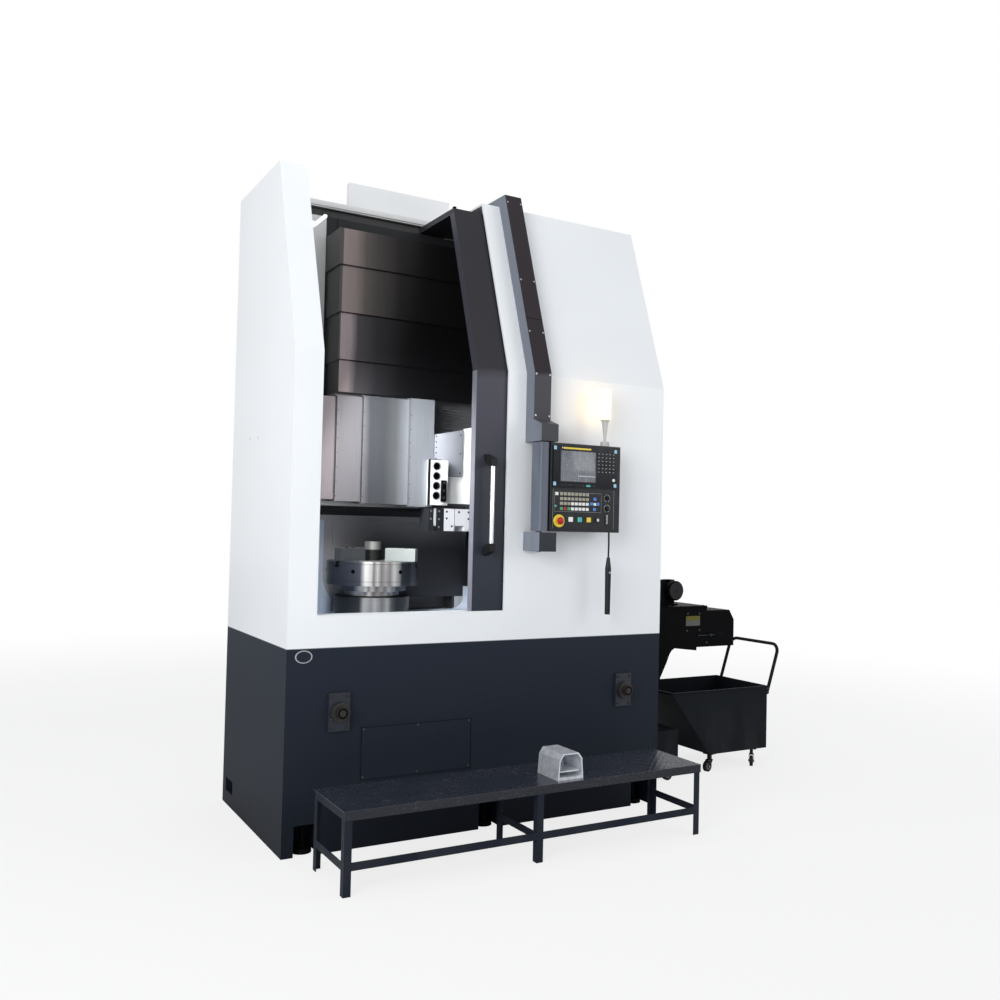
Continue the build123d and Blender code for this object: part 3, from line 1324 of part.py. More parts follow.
# Bent tube that leans out from the cart's upright end
def make_cart_handle():
    tube_x = CART_RIGHT + HANDLE_TUBE_RADIUS + SEAT_GAP
    lean_x = tube_x + HANDLE_TUBE_LEAN
    near, far = CART_FRONT + HANDLE_TUBE_INSET, CART_BACK - HANDLE_TUBE_INSET
    foot, high = CART_TOP - HANDLE_TUBE_FOOT, CART_TOP + HANDLE_TUBE_RISE
    with BuildPart() as cart_handle:
        with BuildLine():
            FilletPolyline(
                (tube_x, far, foot),
                (lean_x, far, high),
                (lean_x, near, high),
                (tube_x, near, foot),
                radius=HANDLE_TUBE_BEND,
            )
        lean = (lean_x - tube_x, 0, high - foot)
        with BuildSketch(Plane((tube_x, far, foot), x_dir=(0, 1, 0), z_dir=lean)):
            RegularPolygon(HANDLE_TUBE_RADIUS, HANDLE_TUBE_SIDES)
        sweep()
    save(cart_handle, "cart_handle")


# Tread: one folded sheet with skirts at the front and the back
def make_bench_tread():
    top, sheet = BENCH_HEIGHT, BENCH_SHEET
    with BuildPart() as tread:
        outline = [
            (BENCH_FRONT, top - BENCH_SKIRT),
            (BENCH_FRONT, top),
            (BENCH_BACK, top),
            (BENCH_BACK, top - BENCH_SKIRT),
            (BENCH_BACK - sheet, top - BENCH_SKIRT),
            (BENCH_BACK - sheet, top - sheet),
            (BENCH_FRONT + sheet, top - sheet),
            (BENCH_FRONT + sheet, top - BENCH_SKIRT),
        ]
        extrude(side_face(BENCH_LEFT, outline), amount=BENCH_LENGTH)
    save(tread, "bench_tread")


# Frame of angle iron: six legs, a long front stretcher and three cross stretchers
def make_bench_frame():
    front = BENCH_FRONT + BENCH_SHEET + SEAT_GAP
    back = BENCH_BACK - BENCH_SHEET - SEAT_GAP
    top = BENCH_HEIGHT - BENCH_SHEET - SEAT_GAP
    left, right = BENCH_LEFT + 4, BENCH_RIGHT - 4
    middle = (left + right - ANGLE_SIZE) / 2
    size, sheet = ANGLE_SIZE, ANGLE_SHEET
    section = [(0, 0), (size, 0), (size, sheet), (sheet, sheet), (sheet, size), (0, size)]
    with BuildPart() as frame:
        for x, to_x in ((left, 1), (middle, 1), (right, -1)):
            for y, to_y in ((front, 1), (back, -1)):
                corner = [(x + to_x * a, y + to_y * b) for a, b in section]
                extrude(level_face(0, corner), amount=top)
        for z in (STRETCHER_HEIGHT, top - size):
            rail = rectangle(front, z, front + sheet, z + size)
            extrude(side_face(left, rail), amount=right - left)
            for x in (left, middle, right - sheet):
                brace = rectangle(x, z, x + sheet, z + size)
                extrude(front_face(front, brace), amount=-(back - front))
        high_rail = rectangle(back - sheet, top - size, back, top)
        extrude(side_face(left, high_rail), amount=right - left)
    save(frame, "bench_frame")


def hood_outline(inset):
    """Front outline of the foot switch's hood, moved in by the wall's thickness."""
    foot = SWITCH_WIDTH / 2 - inset
    side = SWITCH_TOP_WIDTH / 2 - inset
    top = SWITCH_HEIGHT - inset
    corner = SWITCH_CORNER - inset / 2
    right = [(foot, 0), (side, top - corner), (side - corner * 0.8, top)]
    left = [(-x, z) for x, z in reversed(right)]
    return [(SWITCH_X + x, SWITCH_FLOOR + z) for x, z in right + left]


# Foot switch: cast hood with an open front, closed back and a base inside
def make_foot_switch_guard():
    front = SWITCH_Y - SWITCH_LENGTH / 2
    pin_y = front + PEDAL_LENGTH + 15
    pin_z = SWITCH_FLOOR + PEDAL_RISE
    half = SWITCH_WIDTH / 2
    with BuildPart() as guard:
        extrude(front_face(front, hood_outline(0)), amount=-SWITCH_LENGTH)
        hollow = front_face(front, hood_outline(SWITCH_SHELL))
        extrude(hollow, amount=-(SWITCH_LENGTH - SWITCH_SHELL), mode=Mode.SUBTRACT)
        inner = half - SWITCH_SHELL - 1
        base = rectangle(SWITCH_X - inner, SWITCH_FLOOR, SWITCH_X + inner, SWITCH_FLOOR + SWITCH_BASE)
        extrude(front_face(front + 4, base), amount=-(SWITCH_LENGTH - 6))
        step = rectangle(
            SWITCH_X - inner + 8,
            SWITCH_FLOOR,
            SWITCH_X + inner - 8,
            SWITCH_FLOOR + SWITCH_BASE + SWITCH_STEP,
        )
        extrude(front_face(pin_y + 14, step), amount=-(front + SWITCH_LENGTH - pin_y - 16))
        bore = side_disc(SWITCH_X - half, pin_y, pin_z, PEDAL_PIN_RADIUS + SEAT_GAP)
        extrude(bore, amount=SWITCH_WIDTH, mode=Mode.SUBTRACT)
    save(guard, "foot_switch_guard")


# Pedal plate on a pin that passes through both walls of the hood
def make_foot_pedal():
    front = SWITCH_Y - SWITCH_LENGTH / 2
    pin_y = front + PEDAL_LENGTH + 15
    pin_z = SWITCH_FLOOR + PEDAL_RISE
    half = SWITCH_WIDTH / 2 - SWITCH_SHELL - PEDAL_GAP - 2
    with BuildPart() as pedal:
        outline = [
            (front + 15, pin_z + 2),
            (front + 15, pin_z + 2 + PEDAL_SHEET),
            (pin_y, pin_z + 8),
            (pin_y + 8, pin_z),
            (pin_y, pin_z - 8),
            (pin_y - 10, pin_z + 2),
        ]
        extrude(side_face(SWITCH_X - half, outline), amount=2 * half)
        pin = side_disc(SWITCH_X - SWITCH_WIDTH / 2 + 3, pin_y, pin_z, PEDAL_PIN_RADIUS)
        extrude(pin, amount=SWITCH_WIDTH - 6)
    save(pedal, "foot_pedal")


make_base_cover()
make_levelling_feet()
make_lift_brackets()
make_left_wall()
make_sill()
make_right_front_panel()
make_right_side_panel()
make_roof_panel()
make_cabinet()
make_column()
make_tub()
make_roof_beam()
make_work_lamp()
make_spindle_drum()
make_chuck()
for number in range(3):
    make_jaw(number)
make_cross_rail()
for number in range(4):
    make_z_cover(number)
    make_x_cover(number)
make_tool_head()
make_tool_block()
make_tool_holders()
make_door()
make_door_handle()
make_arm()
make_swivel_column()
make_pendant_box()
make_emergency_button()
make_signal_lamp()
make_hand_unit()
make_conveyor()
make_conveyor_motor()
make_tank()
make_casters()
make_cart_bin()
make_cart_handle()
make_bench_tread()
make_bench_frame()
make_foot_switch_guard()
make_foot_pedal()
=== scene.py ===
"""Dresses the vertical turning lathe: finishes for its solids, and the small pieces on them."""

import logging
import math
from dataclasses import dataclass
from enum import Enum
from functools import lru_cache
from typing import Any, Sequence, Union

import bmesh
import bpy
from mathutils import Matrix, Vector


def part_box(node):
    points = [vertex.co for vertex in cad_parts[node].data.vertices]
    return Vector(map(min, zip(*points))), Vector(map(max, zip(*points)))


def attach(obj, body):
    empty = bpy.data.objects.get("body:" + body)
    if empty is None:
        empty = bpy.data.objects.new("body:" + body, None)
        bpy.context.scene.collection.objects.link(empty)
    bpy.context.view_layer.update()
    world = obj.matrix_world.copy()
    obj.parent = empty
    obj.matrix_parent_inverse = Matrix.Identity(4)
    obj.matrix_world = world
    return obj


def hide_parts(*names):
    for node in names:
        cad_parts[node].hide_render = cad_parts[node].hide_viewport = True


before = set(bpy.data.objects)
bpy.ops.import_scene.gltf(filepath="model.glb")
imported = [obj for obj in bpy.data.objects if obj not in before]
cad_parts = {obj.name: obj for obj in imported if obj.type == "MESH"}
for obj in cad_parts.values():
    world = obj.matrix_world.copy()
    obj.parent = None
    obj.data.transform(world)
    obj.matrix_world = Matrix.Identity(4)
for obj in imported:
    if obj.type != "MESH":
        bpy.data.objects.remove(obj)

Point = tuple[float, float, float]
Flat = tuple[float, float]
Colour = tuple[float, float, float]

log = logging.getLogger("lathe")

# Planes of the housing that the small pieces sit on, in metres
FRONT_Y = -0.620
BACK_Y = 0.500
LEFT_X = -0.685
RIGHT_X = 1.595
TREAD_TOP = 0.370
DOOR_LEFT_X = 0.327
ARM_LEFT_X = 0.629
ARM_RIGHT_X = 0.738
KNEE_Z = 2.465
LEAN = 0.355 / 1.025
LEAN_ANGLE = math.atan(LEAN)


class Body(Enum):
    """The moving bodies that a piece can ride on."""

    HOUSING = "housing"
    DOOR = "door"
    RAIL = "rail"
    UPPER_COVER = "upper_cover"
    MIDDLE_COVER = "middle_cover"
    INNER_SIDE_COVER = "inner_side_cover"
    OUTER_SIDE_COVER = "outer_side_cover"
    TOOL_SLIDE = "tool_slide"
    CHUCK = "chuck"
    JAW_A = "jaw_a"
    JAW_B = "jaw_b"
    JAW_C = "jaw_c"
    PENDANT = "pendant"
    STOP_BUTTON = "stop_button"
    PEDAL = "pedal"


class Facing(Enum):
    """Direction in which a screw head, button or plate looks."""

    FRONT = (0.0, -1.0, 0.0)
    LEFT = (-1.0, 0.0, 0.0)
    RIGHT = (1.0, 0.0, 0.0)
    UP = (0.0, 0.0, 1.0)
    DOWN = (0.0, 0.0, -1.0)
    SLOPE = (0.0, -math.cos(LEAN_ANGLE), math.sin(LEAN_ANGLE))


def turn_to(facing: "Facing | Point") -> Matrix:
    """Rotation that takes +Z to a direction."""
    direction = facing.value if isinstance(facing, Facing) else facing
    return Vector(direction).to_track_quat("Z", "Y").to_matrix().to_4x4()


class Sock:
    """A shader value that takes part in plain arithmetic."""

    def __init__(self, shader: "Shader", socket: bpy.types.NodeSocket) -> None:
        """Keep the shader and the socket.

        Args:
            shader: The shader that owns the socket.
            socket: The output socket to wrap.
        """
        self.shader = shader
        self.socket = socket

    def _math(self, operation: str, *values: "Value") -> "Sock":
        """Add one Math node.

        Args:
            operation: The Math node's operation.
            values: Its inputs, in order.

        Returns:
            The wrapped result.
        """
        inputs = {index: value for index, value in enumerate(values)}
        return self.shader.node("ShaderNodeMath", {"operation": operation}, inputs)

    def __add__(self, other: "Value") -> "Sock":
        """Sum of two values."""
        return self._math("ADD", self, other)

    __radd__ = __add__

    def __sub__(self, other: "Value") -> "Sock":
        """Difference of two values."""
        return self._math("SUBTRACT", self, other)

    def __rsub__(self, other: "Value") -> "Sock":
        """Difference with the plain number first."""
        return self._math("SUBTRACT", other, self)

    def __mul__(self, other: "Value") -> "Sock":
        """Product of two values."""
        return self._math("MULTIPLY", self, other)

    __rmul__ = __mul__

    def __truediv__(self, other: "Value") -> "Sock":
        """Quotient of two values."""
        return self._math("DIVIDE", self, other)

    def wrap(self, period: float) -> "Sock":
        """Remainder inside a period, from 0 upwards."""
        return self._math("FLOORED_MODULO", self, period)

    def size(self) -> "Sock":
        """Absolute value."""
        return self._math("ABSOLUTE", self)

    def least(self, other: "Value") -> "Sock":
        """The smaller of two values."""
        return self._math("MINIMUM", self, other)

    def over(self, edge: float, soft: float) -> "Sock":
        """Soft step that goes from 0 to 1 across an edge.

        Args:
            edge: The value at the middle of the step.
            soft: Half of the step's width.

        Returns:
            The wrapped mask.
        """
        stops = {0: self, 1: edge - soft, 2: edge + soft, 3: 0.0, 4: 1.0}
        return self.shader.node("ShaderNodeMapRange", {"interpolation_type": "SMOOTHSTEP"}, stops)


Value = Union[Sock, float]


class Shader:
    """A material under construction."""

    def __init__(self, name: str) -> None:
        """Start an empty material.

        Args:
            name: The material's name.
        """
        self.material = bpy.data.materials.new(name)
        self.material.use_nodes = True
        self.tree = self.material.node_tree
        self.tree.nodes.clear()

    def node(
        self,
        kind: str,
        settings: dict[str, Any] | None = None,
        inputs: dict[int | str, Any] | None = None,
        output: int | str = 0,
    ) -> Sock:
        """Add one node, set it, and fill or link its sockets.

        Args:
            kind: The node's type name.
            settings: Its own settings, made first; a ramp's stops are given as "stops".
            inputs: Values or wrapped sockets for its inputs.
            output: The output to wrap.

        Returns:
            The wrapped output.
        """
        node = self.tree.nodes.new(kind)
        for key, value in (settings or {}).items():
            if key == "stops":
                while len(node.color_ramp.elements) < len(value):
                    node.color_ramp.elements.new(0.5)
                for element, (place, colour) in zip(node.color_ramp.elements, value):
                    element.position = place
                    element.color = (*colour, 1.0)
            else:
                setattr(node, key, value)
        for key, value in (inputs or {}).items():
            if isinstance(value, Sock):
                self.tree.links.new(value.socket, node.inputs[key])
            else:
                node.inputs[key].default_value = value
        return Sock(self, node.outputs[output]) if len(node.outputs) else Sock(self, None)

    def place(self) -> Sock:
        """Place on the object, in metres."""
        return self.node("ShaderNodeTexCoord", output="Object")

    def along(self, axis: int) -> Sock:
        """One coordinate of the place on the object."""
        return self.node("ShaderNodeSeparateXYZ", None, {0: self.place()}, axis)

    def noise(self, scale: float, stretch: Point = (1.0, 1.0, 1.0), detail: float = 3.0) -> Sock:
        """Noise over the surface.

        Args:
            scale: Cells in a metre.
            stretch: Factors on the three coordinates; small ones draw the noise out.
            detail: Octaves of the noise.

        Returns:
            The wrapped noise, from 0 to 1.
        """
        vector = self.node("ShaderNodeMapping", None, {0: self.place(), 3: stretch})
        return self.node("ShaderNodeTexNoise", None, {0: vector, "Scale": scale, "Detail": detail})

    def cells(self, scale: float) -> Sock:
        """Distance to the nearest of scattered points, for specks."""
        return self.node("ShaderNodeTexVoronoi", None, {0: self.place(), "Scale": scale}, "Distance")

    def mix(self, mask: Value, low: Any, high: Any) -> Sock:
        """Mix of two colours.

        Args:
            mask: 0 gives the first colour and 1 the second.
            low: The first colour.
            high: The second colour.

        Returns:
            The wrapped colour.
        """
        pair = [(*x, 1.0) if isinstance(x, tuple) else x for x in (low, high)]
        settings = {"data_type": "RGBA", "clamp_factor": True}
        return self.node("ShaderNodeMix", settings, {0: mask, 6: pair[0], 7: pair[1]}, 2)

    def bump(self, height: Sock, depth: float) -> Sock:
        """Surface relief.

        Args:
            height: The relief, from 0 to 1.
            depth: Its depth in metres.

        Returns:
            The wrapped normal.
        """
        inputs = {"Strength": 1.0, "Distance": depth, "Height": height}
        return self.node("ShaderNodeBump", None, inputs)

    def close(self, **sockets: Any) -> bpy.types.Material:
        """End with the surface shader.

        Args:
            sockets: Inputs of the surface shader, with underscores for spaces.

        Returns:
            The finished material.
        """
        inputs = {key.replace("_", " "): value for key, value in sockets.items()}
        colour = inputs.get("Base Color")
        if isinstance(colour, tuple):
            inputs["Base Color"] = (*colour, 1.0)
        surface = self.node("ShaderNodeBsdfPrincipled", None, inputs)
        self.node("ShaderNodeOutputMaterial", None, {0: surface})
        return self.material


def lighter(colour: Colour, factor: float) -> Colour:
    """A colour made lighter or darker by a factor."""
    return tuple(min(1.0, part * factor) for part in colour)


@dataclass(frozen=True)
class Zone:
    """A box of space in which a surface has another colour.

    Attributes:
        colour: Colour inside the box.
        low: Lowest corner; None leaves that side open.
        high: Highest corner; None leaves that side open.
        rough: Roughness inside the box.
        metal: Share of metal inside the box.
        soft: Width of the soft border in metres.
    """

    colour: Colour
    low: tuple[float | None, float | None, float | None] = (None, None, None)
    high: tuple[float | None, float | None, float | None] = (None, None, None)
    rough: float = 0.4
    metal: float = 0.0
    soft: float = 0.0006

    def mask(self, shader: "Shader") -> Sock:
        """Mask that is 1 inside the box.

        Args:
            shader: The shader that uses it.

        Returns:
            The wrapped mask.
        """
        result: Value = 1.0
        for axis, (low, high) in enumerate(zip(self.low, self.high)):
            place = shader.along(axis)
            if low is not None:
                result = place.over(low, self.soft) * result
            if high is not None:
                result = (1.0 - place.over(high, self.soft)) * result
        return result


@dataclass(frozen=True)
class Paint:
    """Powder coat: fine orange peel, broad shade changes, and dust low down.

    Attributes:
        name: The material's name.
        colour: The paint's colour.
        rough: Roughness.
        shade: How far the shade wanders.
        dust: Strength of the dust that gathers towards the floor.
        grain: Depth of the orange peel in metres.
        coat: Clear gloss on top.
        shine: Strength of plain reflections; 0.5 is common paint.
        metal: Share of metal.
        zones: Places with another colour.
    """

    name: str
    colour: Colour
    rough: float = 0.4
    shade: float = 0.06
    dust: float = 0.0
    grain: float = 0.00004
    coat: float = 0.0
    shine: float = 0.5
    metal: float = 0.0
    zones: tuple[Zone, ...] = ()

    @lru_cache
    def build(self) -> bpy.types.Material:
        """Build the material once."""
        shader = Shader(self.name)
        broad = shader.noise(1.4, detail=2.0)
        fine = shader.noise(420.0, detail=1.0)
        low, high = lighter(self.colour, 1 - self.shade), lighter(self.colour, 1 + self.shade)
        colour = shader.mix(broad.over(0.5, 0.3), low, high)
        rough = broad * 0.1 + fine * 0.06 + (self.rough - 0.08)
        metal: Value = self.metal
        for zone in self.zones:
            mask = zone.mask(shader)
            pale = lighter(zone.colour, 1 + self.shade)
            colour = shader.mix(mask, colour, shader.mix(broad.over(0.5, 0.3), zone.colour, pale))
            rough = rough * (1.0 - mask) + mask * (fine * 0.06 + (zone.rough - 0.03))
            metal = mask * zone.metal + (1.0 - mask) * metal
        if self.dust:
            height = shader.along(2)
            smear = shader.noise(7.0, (1.0, 1.0, 0.35), 5.0)
            mask = (1.0 - height.over(0.30, 0.30)) * smear.over(0.52, 0.16) * self.dust
            colour = shader.mix(mask, colour, (0.12, 0.115, 0.11))
        normal = shader.bump(fine, self.grain)
        return shader.close(
            Base_Color=colour,
            Roughness=rough,
            Metallic=metal,
            Normal=normal,
            Coat_Weight=self.coat,
            Specular_IOR_Level=self.shine,
        )


@dataclass(frozen=True)
class GradedSheet:
    """Polished sheet with painted reflection and shade: its colour changes along one direction, standing in
    for what it mirrors and how light falls on it.

    Attributes:
        name: The material's name.
        shades: (place in metres, colour) pairs of painted reflection and shade along the direction, in
            order.
        axis: The direction in which the shade changes.
        stretch: Factors on the coordinates; a small one runs along the streaks.
        rough: Roughness.
        streak: Strength of the streaks in the colour.
        metal: Share of metal against dull skin.
        shine: Strength of plain reflections.
        zones: Places with another colour.
    """

    name: str
    shades: tuple[tuple[float, Colour], ...]
    axis: int = 0
    stretch: Point = (1.0, 1.0, 0.02)
    rough: float = 0.3
    streak: float = 0.12
    metal: float = 0.5
    shine: float = 0.5
    zones: tuple[Zone, ...] = ()

    @lru_cache
    def build(self) -> bpy.types.Material:
        """Build the material once."""
        shader = Shader(self.name)
        # The shades are painted reflection and shade: a ramp of colours along one direction.
        start, end = self.shades[0][0], self.shades[-1][0]
        wander = shader.noise(2.5, detail=2.0) * 0.06 - 0.03
        along = (shader.along(self.axis) + wander * (end - start) - start) / (end - start)
        stops = [((place - start) / (end - start), colour) for place, colour in self.shades]
        shade = shader.node("ShaderNodeValToRGB", {"stops": stops}, {0: along})
        lines = shader.noise(240.0, self.stretch, 4.0)
        dark = shader.mix(1.0 - self.streak, (0.0, 0.0, 0.0), shade)
        colour = shader.mix(lines.over(0.5, 0.25), dark, shade)
        rough = lines * 0.12 + (self.rough - 0.06)
        metal: Value = self.metal
        for zone in self.zones:
            mask = zone.mask(shader)
            colour = shader.mix(mask, colour, zone.colour)
            rough = rough * (1.0 - mask) + mask * zone.rough
            metal = mask * zone.metal + (1.0 - mask) * metal
        normal = shader.bump(lines, 0.00002)
        return shader.close(
            Base_Color=colour,
            Roughness=rough,
            Metallic=metal,
            Normal=normal,
            Specular_IOR_Level=self.shine,
        )


@dataclass(frozen=True)
class BrushedSheet:
    """Brushed or rolled metal sheet with streaks along one direction.

    Attributes:
        name: The material's name.
        colour: The metal's colour.
        stretch: Factors on the coordinates; a small one runs along the streaks.
        rough: Roughness.
        streak: Strength of the streaks in the colour.
        metal: Share of metal against dull skin.
        cloud: Strength of dull clouds, as coolant leaves them.
    """

    name: str
    colour: Colour
    stretch: Point = (1.0, 1.0, 0.02)
    rough: float = 0.3
    streak: float = 0.2
    metal: float = 1.0
    cloud: float = 0.15

    @lru_cache
    def build(self) -> bpy.types.Material:
        """Build the material once."""
        shader = Shader(self.name)
        lines = shader.noise(260.0, self.stretch, 4.0)
        clouds = shader.noise(3.2, detail=5.0).over(0.52, 0.2)
        low, high = lighter(self.colour, 1 - self.streak), lighter(self.colour, 1 + self.streak)
        colour = shader.mix(lines.over(0.5, 0.25), low, high)
        colour = shader.mix(clouds * self.cloud, colour, lighter(self.colour, 0.45))
        rough = lines * 0.16 + clouds * 0.12 + (self.rough - 0.1)
        normal = shader.bump(lines, 0.00003)
        return shader.close(Base_Color=colour, Roughness=rough, Metallic=self.metal, Normal=normal)


@dataclass(frozen=True)
class TurnedMetal:
    """Turned steel: very fine rings round the upright axis, painted reflections as light and dark bands from
    left to right, and oil bands.

    Attributes:
        name: The material's name.
        shades: (place across in metres, colour) pairs of the painted reflection bands, from left to right.
        rough: Roughness.
        band: Strength of the dark bands.
        top: Height above which the steel is dark.
        knob: Height above which it is bright again.
    """

    name: str
    shades: tuple[tuple[float, Colour], ...]
    rough: float = 0.3
    band: float = 0.3
    top: float = 9.0
    knob: float = 9.0

    @lru_cache
    def build(self) -> bpy.types.Material:
        """Build the material once."""
        shader = Shader(self.name)
        # The shades are painted reflections: a ramp of light and dark bands from left to right across the
        # object.
        start, end = self.shades[0][0], self.shades[-1][0]
        along = (shader.along(0) - start) / (end - start)
        stops = [((place - start) / (end - start), colour) for place, colour in self.shades]
        shade = shader.node("ShaderNodeValToRGB", {"stops": stops}, {0: along})
        rings = shader.noise(420.0, (0.002, 0.002, 1.0), 2.0)
        oil = shader.noise(7.0, (1.0, 1.0, 0.5), 4.0).over(0.58, 0.12)
        colour = shader.mix(rings.over(0.5, 0.35), shader.mix(0.88, (0.0, 0.0, 0.0), shade), shade)
        colour = shader.mix(oil * self.band, colour, (0.03, 0.032, 0.036))
        colour = shader.mix(shader.along(2).over(self.top, 0.0006), colour, (0.026, 0.028, 0.028))
        colour = shader.mix(shader.along(2).over(self.knob, 0.004), colour, (0.34, 0.34, 0.33))
        rough = rings * 0.1 + oil * 0.15 + (self.rough - 0.05)
        normal = shader.bump(rings, 0.00001)
        return shader.close(Base_Color=colour, Roughness=rough, Metallic=0.7, Normal=normal)


@dataclass(frozen=True)
class Plastic:
    """Moulded plastic or rubber with a fine grain.

    Attributes:
        name: The material's name.
        colour: The plastic's colour.
        rough: Roughness.
        grain: Depth of the grain in metres.
        shine: Strength of plain reflections.
    """

    name: str
    colour: Colour
    rough: float = 0.4
    grain: float = 0.00005
    shine: float = 0.5

    @lru_cache
    def build(self) -> bpy.types.Material:
        """Build the material once."""
        shader = Shader(self.name)
        grain = shader.noise(900.0, detail=2.0)
        smear = shader.noise(26.0, detail=3.0).over(0.55, 0.2)
        colour = shader.mix(smear * 0.3, self.colour, lighter(self.colour, 0.75))
        rough = smear * 0.12 + (self.rough - 0.04)
        normal = shader.bump(grain, self.grain)
        return shader.close(
            Base_Color=colour, Roughness=rough, Normal=normal, Specular_IOR_Level=self.shine
        )


@dataclass(frozen=True)
class WornTread:
    """Painted tread sheet with a small diamond relief, worn through in specks and streaks.

    Attributes:
        name: The material's name.
        colour: The paint's colour.
        bare: Colour where the paint has gone.
        pitch: Distance between the diamonds in metres.
        top: Height of the sheet's upper side; its folded lip below is painted darker, a painted shade.
    """

    name: str
    colour: Colour
    bare: Colour
    pitch: float = 0.034
    top: float = TREAD_TOP - 0.003

    @lru_cache
    def build(self) -> bpy.types.Material:
        """Build the material once."""
        shader = Shader(self.name)
        x, y, z = (shader.along(axis) for axis in range(3))
        one = ((x + y + z).wrap(self.pitch) - self.pitch / 2).size()
        two = ((x - y + z).wrap(self.pitch) - self.pitch / 2).size()
        relief = 1.0 - one.least(two).over(self.pitch * 0.12, self.pitch * 0.07)
        specks = shader.noise(170.0, detail=6.0).over(0.60, 0.04)
        zones = shader.noise(4.0, (1.0, 1.6, 1.0), 4.0).over(0.47, 0.10)
        streaks = shader.noise(60.0, (0.3, 1.0, 1.0), 5.0).over(0.66, 0.04)
        fading = shader.noise(9.0, detail=3.0).over(0.35, 0.2)
        relief = relief * fading
        worn = (specks * 0.45 + streaks * 0.4) * (zones * 0.9 + 0.1)
        # Painted shade: the folded lip below the upper side is darkened.
        lip = 1.0 - z.over(self.top, 0.001)
        colour = shader.mix(relief * 0.15, self.colour, lighter(self.colour, 1.6))
        colour = shader.mix(worn, colour, self.bare)
        colour = shader.mix(lip * 0.55, colour, (0.0, 0.0, 0.0))
        rough = 0.2 + worn * 0.35 + relief * 0.05
        normal = shader.bump(relief, 0.0004)
        return shader.close(Base_Color=colour, Roughness=rough, Metallic=0.25, Normal=normal)


@dataclass(frozen=True)
class CastMetal:
    """Tumbled light-alloy casting with small pits.

    Attributes:
        name: The material's name.
        colour: The metal's colour.
        rough: Roughness.
    """

    name: str
    colour: Colour
    rough: float = 0.38

    @lru_cache
    def build(self) -> bpy.types.Material:
        """Build the material once."""
        shader = Shader(self.name)
        pits = shader.cells(260.0)
        broad = shader.noise(30.0, detail=4.0)
        colour = shader.mix(broad.over(0.5, 0.2), lighter(self.colour, 0.8), self.colour)
        normal = shader.bump(pits + broad, 0.0003)
        rough = broad * 0.2 + (self.rough - 0.1)
        return shader.close(Base_Color=colour, Roughness=rough, Metallic=0.6, Normal=normal)


@dataclass(frozen=True)
class Glow:
    """Lit lens or bar, a little stronger in the middle.

    Attributes:
        name: The material's name.
        colour: The light's colour.
        strength: How bright it is; 1 is as bright as white paper.
        centre: Height of the brightest place in metres.
        reach: Distance at which it has faded to its weakest.
    """

    name: str
    colour: Colour
    strength: float
    centre: float
    reach: float = 0.1

    @lru_cache
    def build(self) -> bpy.types.Material:
        """Build the material once."""
        shader = Shader(self.name)
        away = (shader.along(2) - self.centre).size() / self.reach
        ribs = shader.noise(60.0, (0.2, 0.2, 1.0), 1.0)
        colour = shader.mix(away.over(0.5, 0.5), lighter(self.colour, 1.3), self.colour)
        normal = shader.bump(ribs, 0.0004)
        return shader.close(
            Base_Color=lighter(self.colour, 0.9),
            Roughness=ribs * 0.1 + 0.2,
            Normal=normal,
            Emission_Color=colour,
            Emission_Strength=self.strength,
        )


@dataclass(frozen=True)
class ScreenGlass:
    """Grey display with a generic layout of pale bars and boxes, no words.

    Attributes:
        name: The material's name.
        left: Left edge in metres.
        low: Lower edge in metres.
        width: Width in metres.
        height: Height in metres.
    """

    name: str
    left: float
    low: float
    width: float
    height: float

    @lru_cache
    def build(self) -> bpy.types.Material:
        """Build the material once."""
        shader = Shader(self.name)
        across = (shader.along(0) - self.left) / self.width
        up = (shader.along(2) - self.low) / self.height
        rows = (up.wrap(1 / 14) * 14.0 - 0.5).size()
        marks = shader.noise(190.0, (1.0, 1.0, 0.25), 2.0).over(0.57, 0.03)
        text = (1.0 - rows.over(0.25, 0.08)) * marks
        bar = (1.0 - (up - 0.19).size().over(0.016, 0.004)) * across.over(0.5, 0.01)
        split = (1.0 - (across - 0.5).size().over(0.004, 0.002)) * (1.0 - up.over(0.5, 0.01))
        tint = shader.mix(up, (0.15, 0.155, 0.17), (0.09, 0.10, 0.12))
        colour = shader.mix((text * 0.3 + bar + split * 0.6).least(1.0), tint, (0.42, 0.44, 0.47))
        return shader.close(
            Base_Color=colour,
            Roughness=text * 0.1 + 0.14,
            Emission_Color=colour,
            Emission_Strength=0.25,
        )


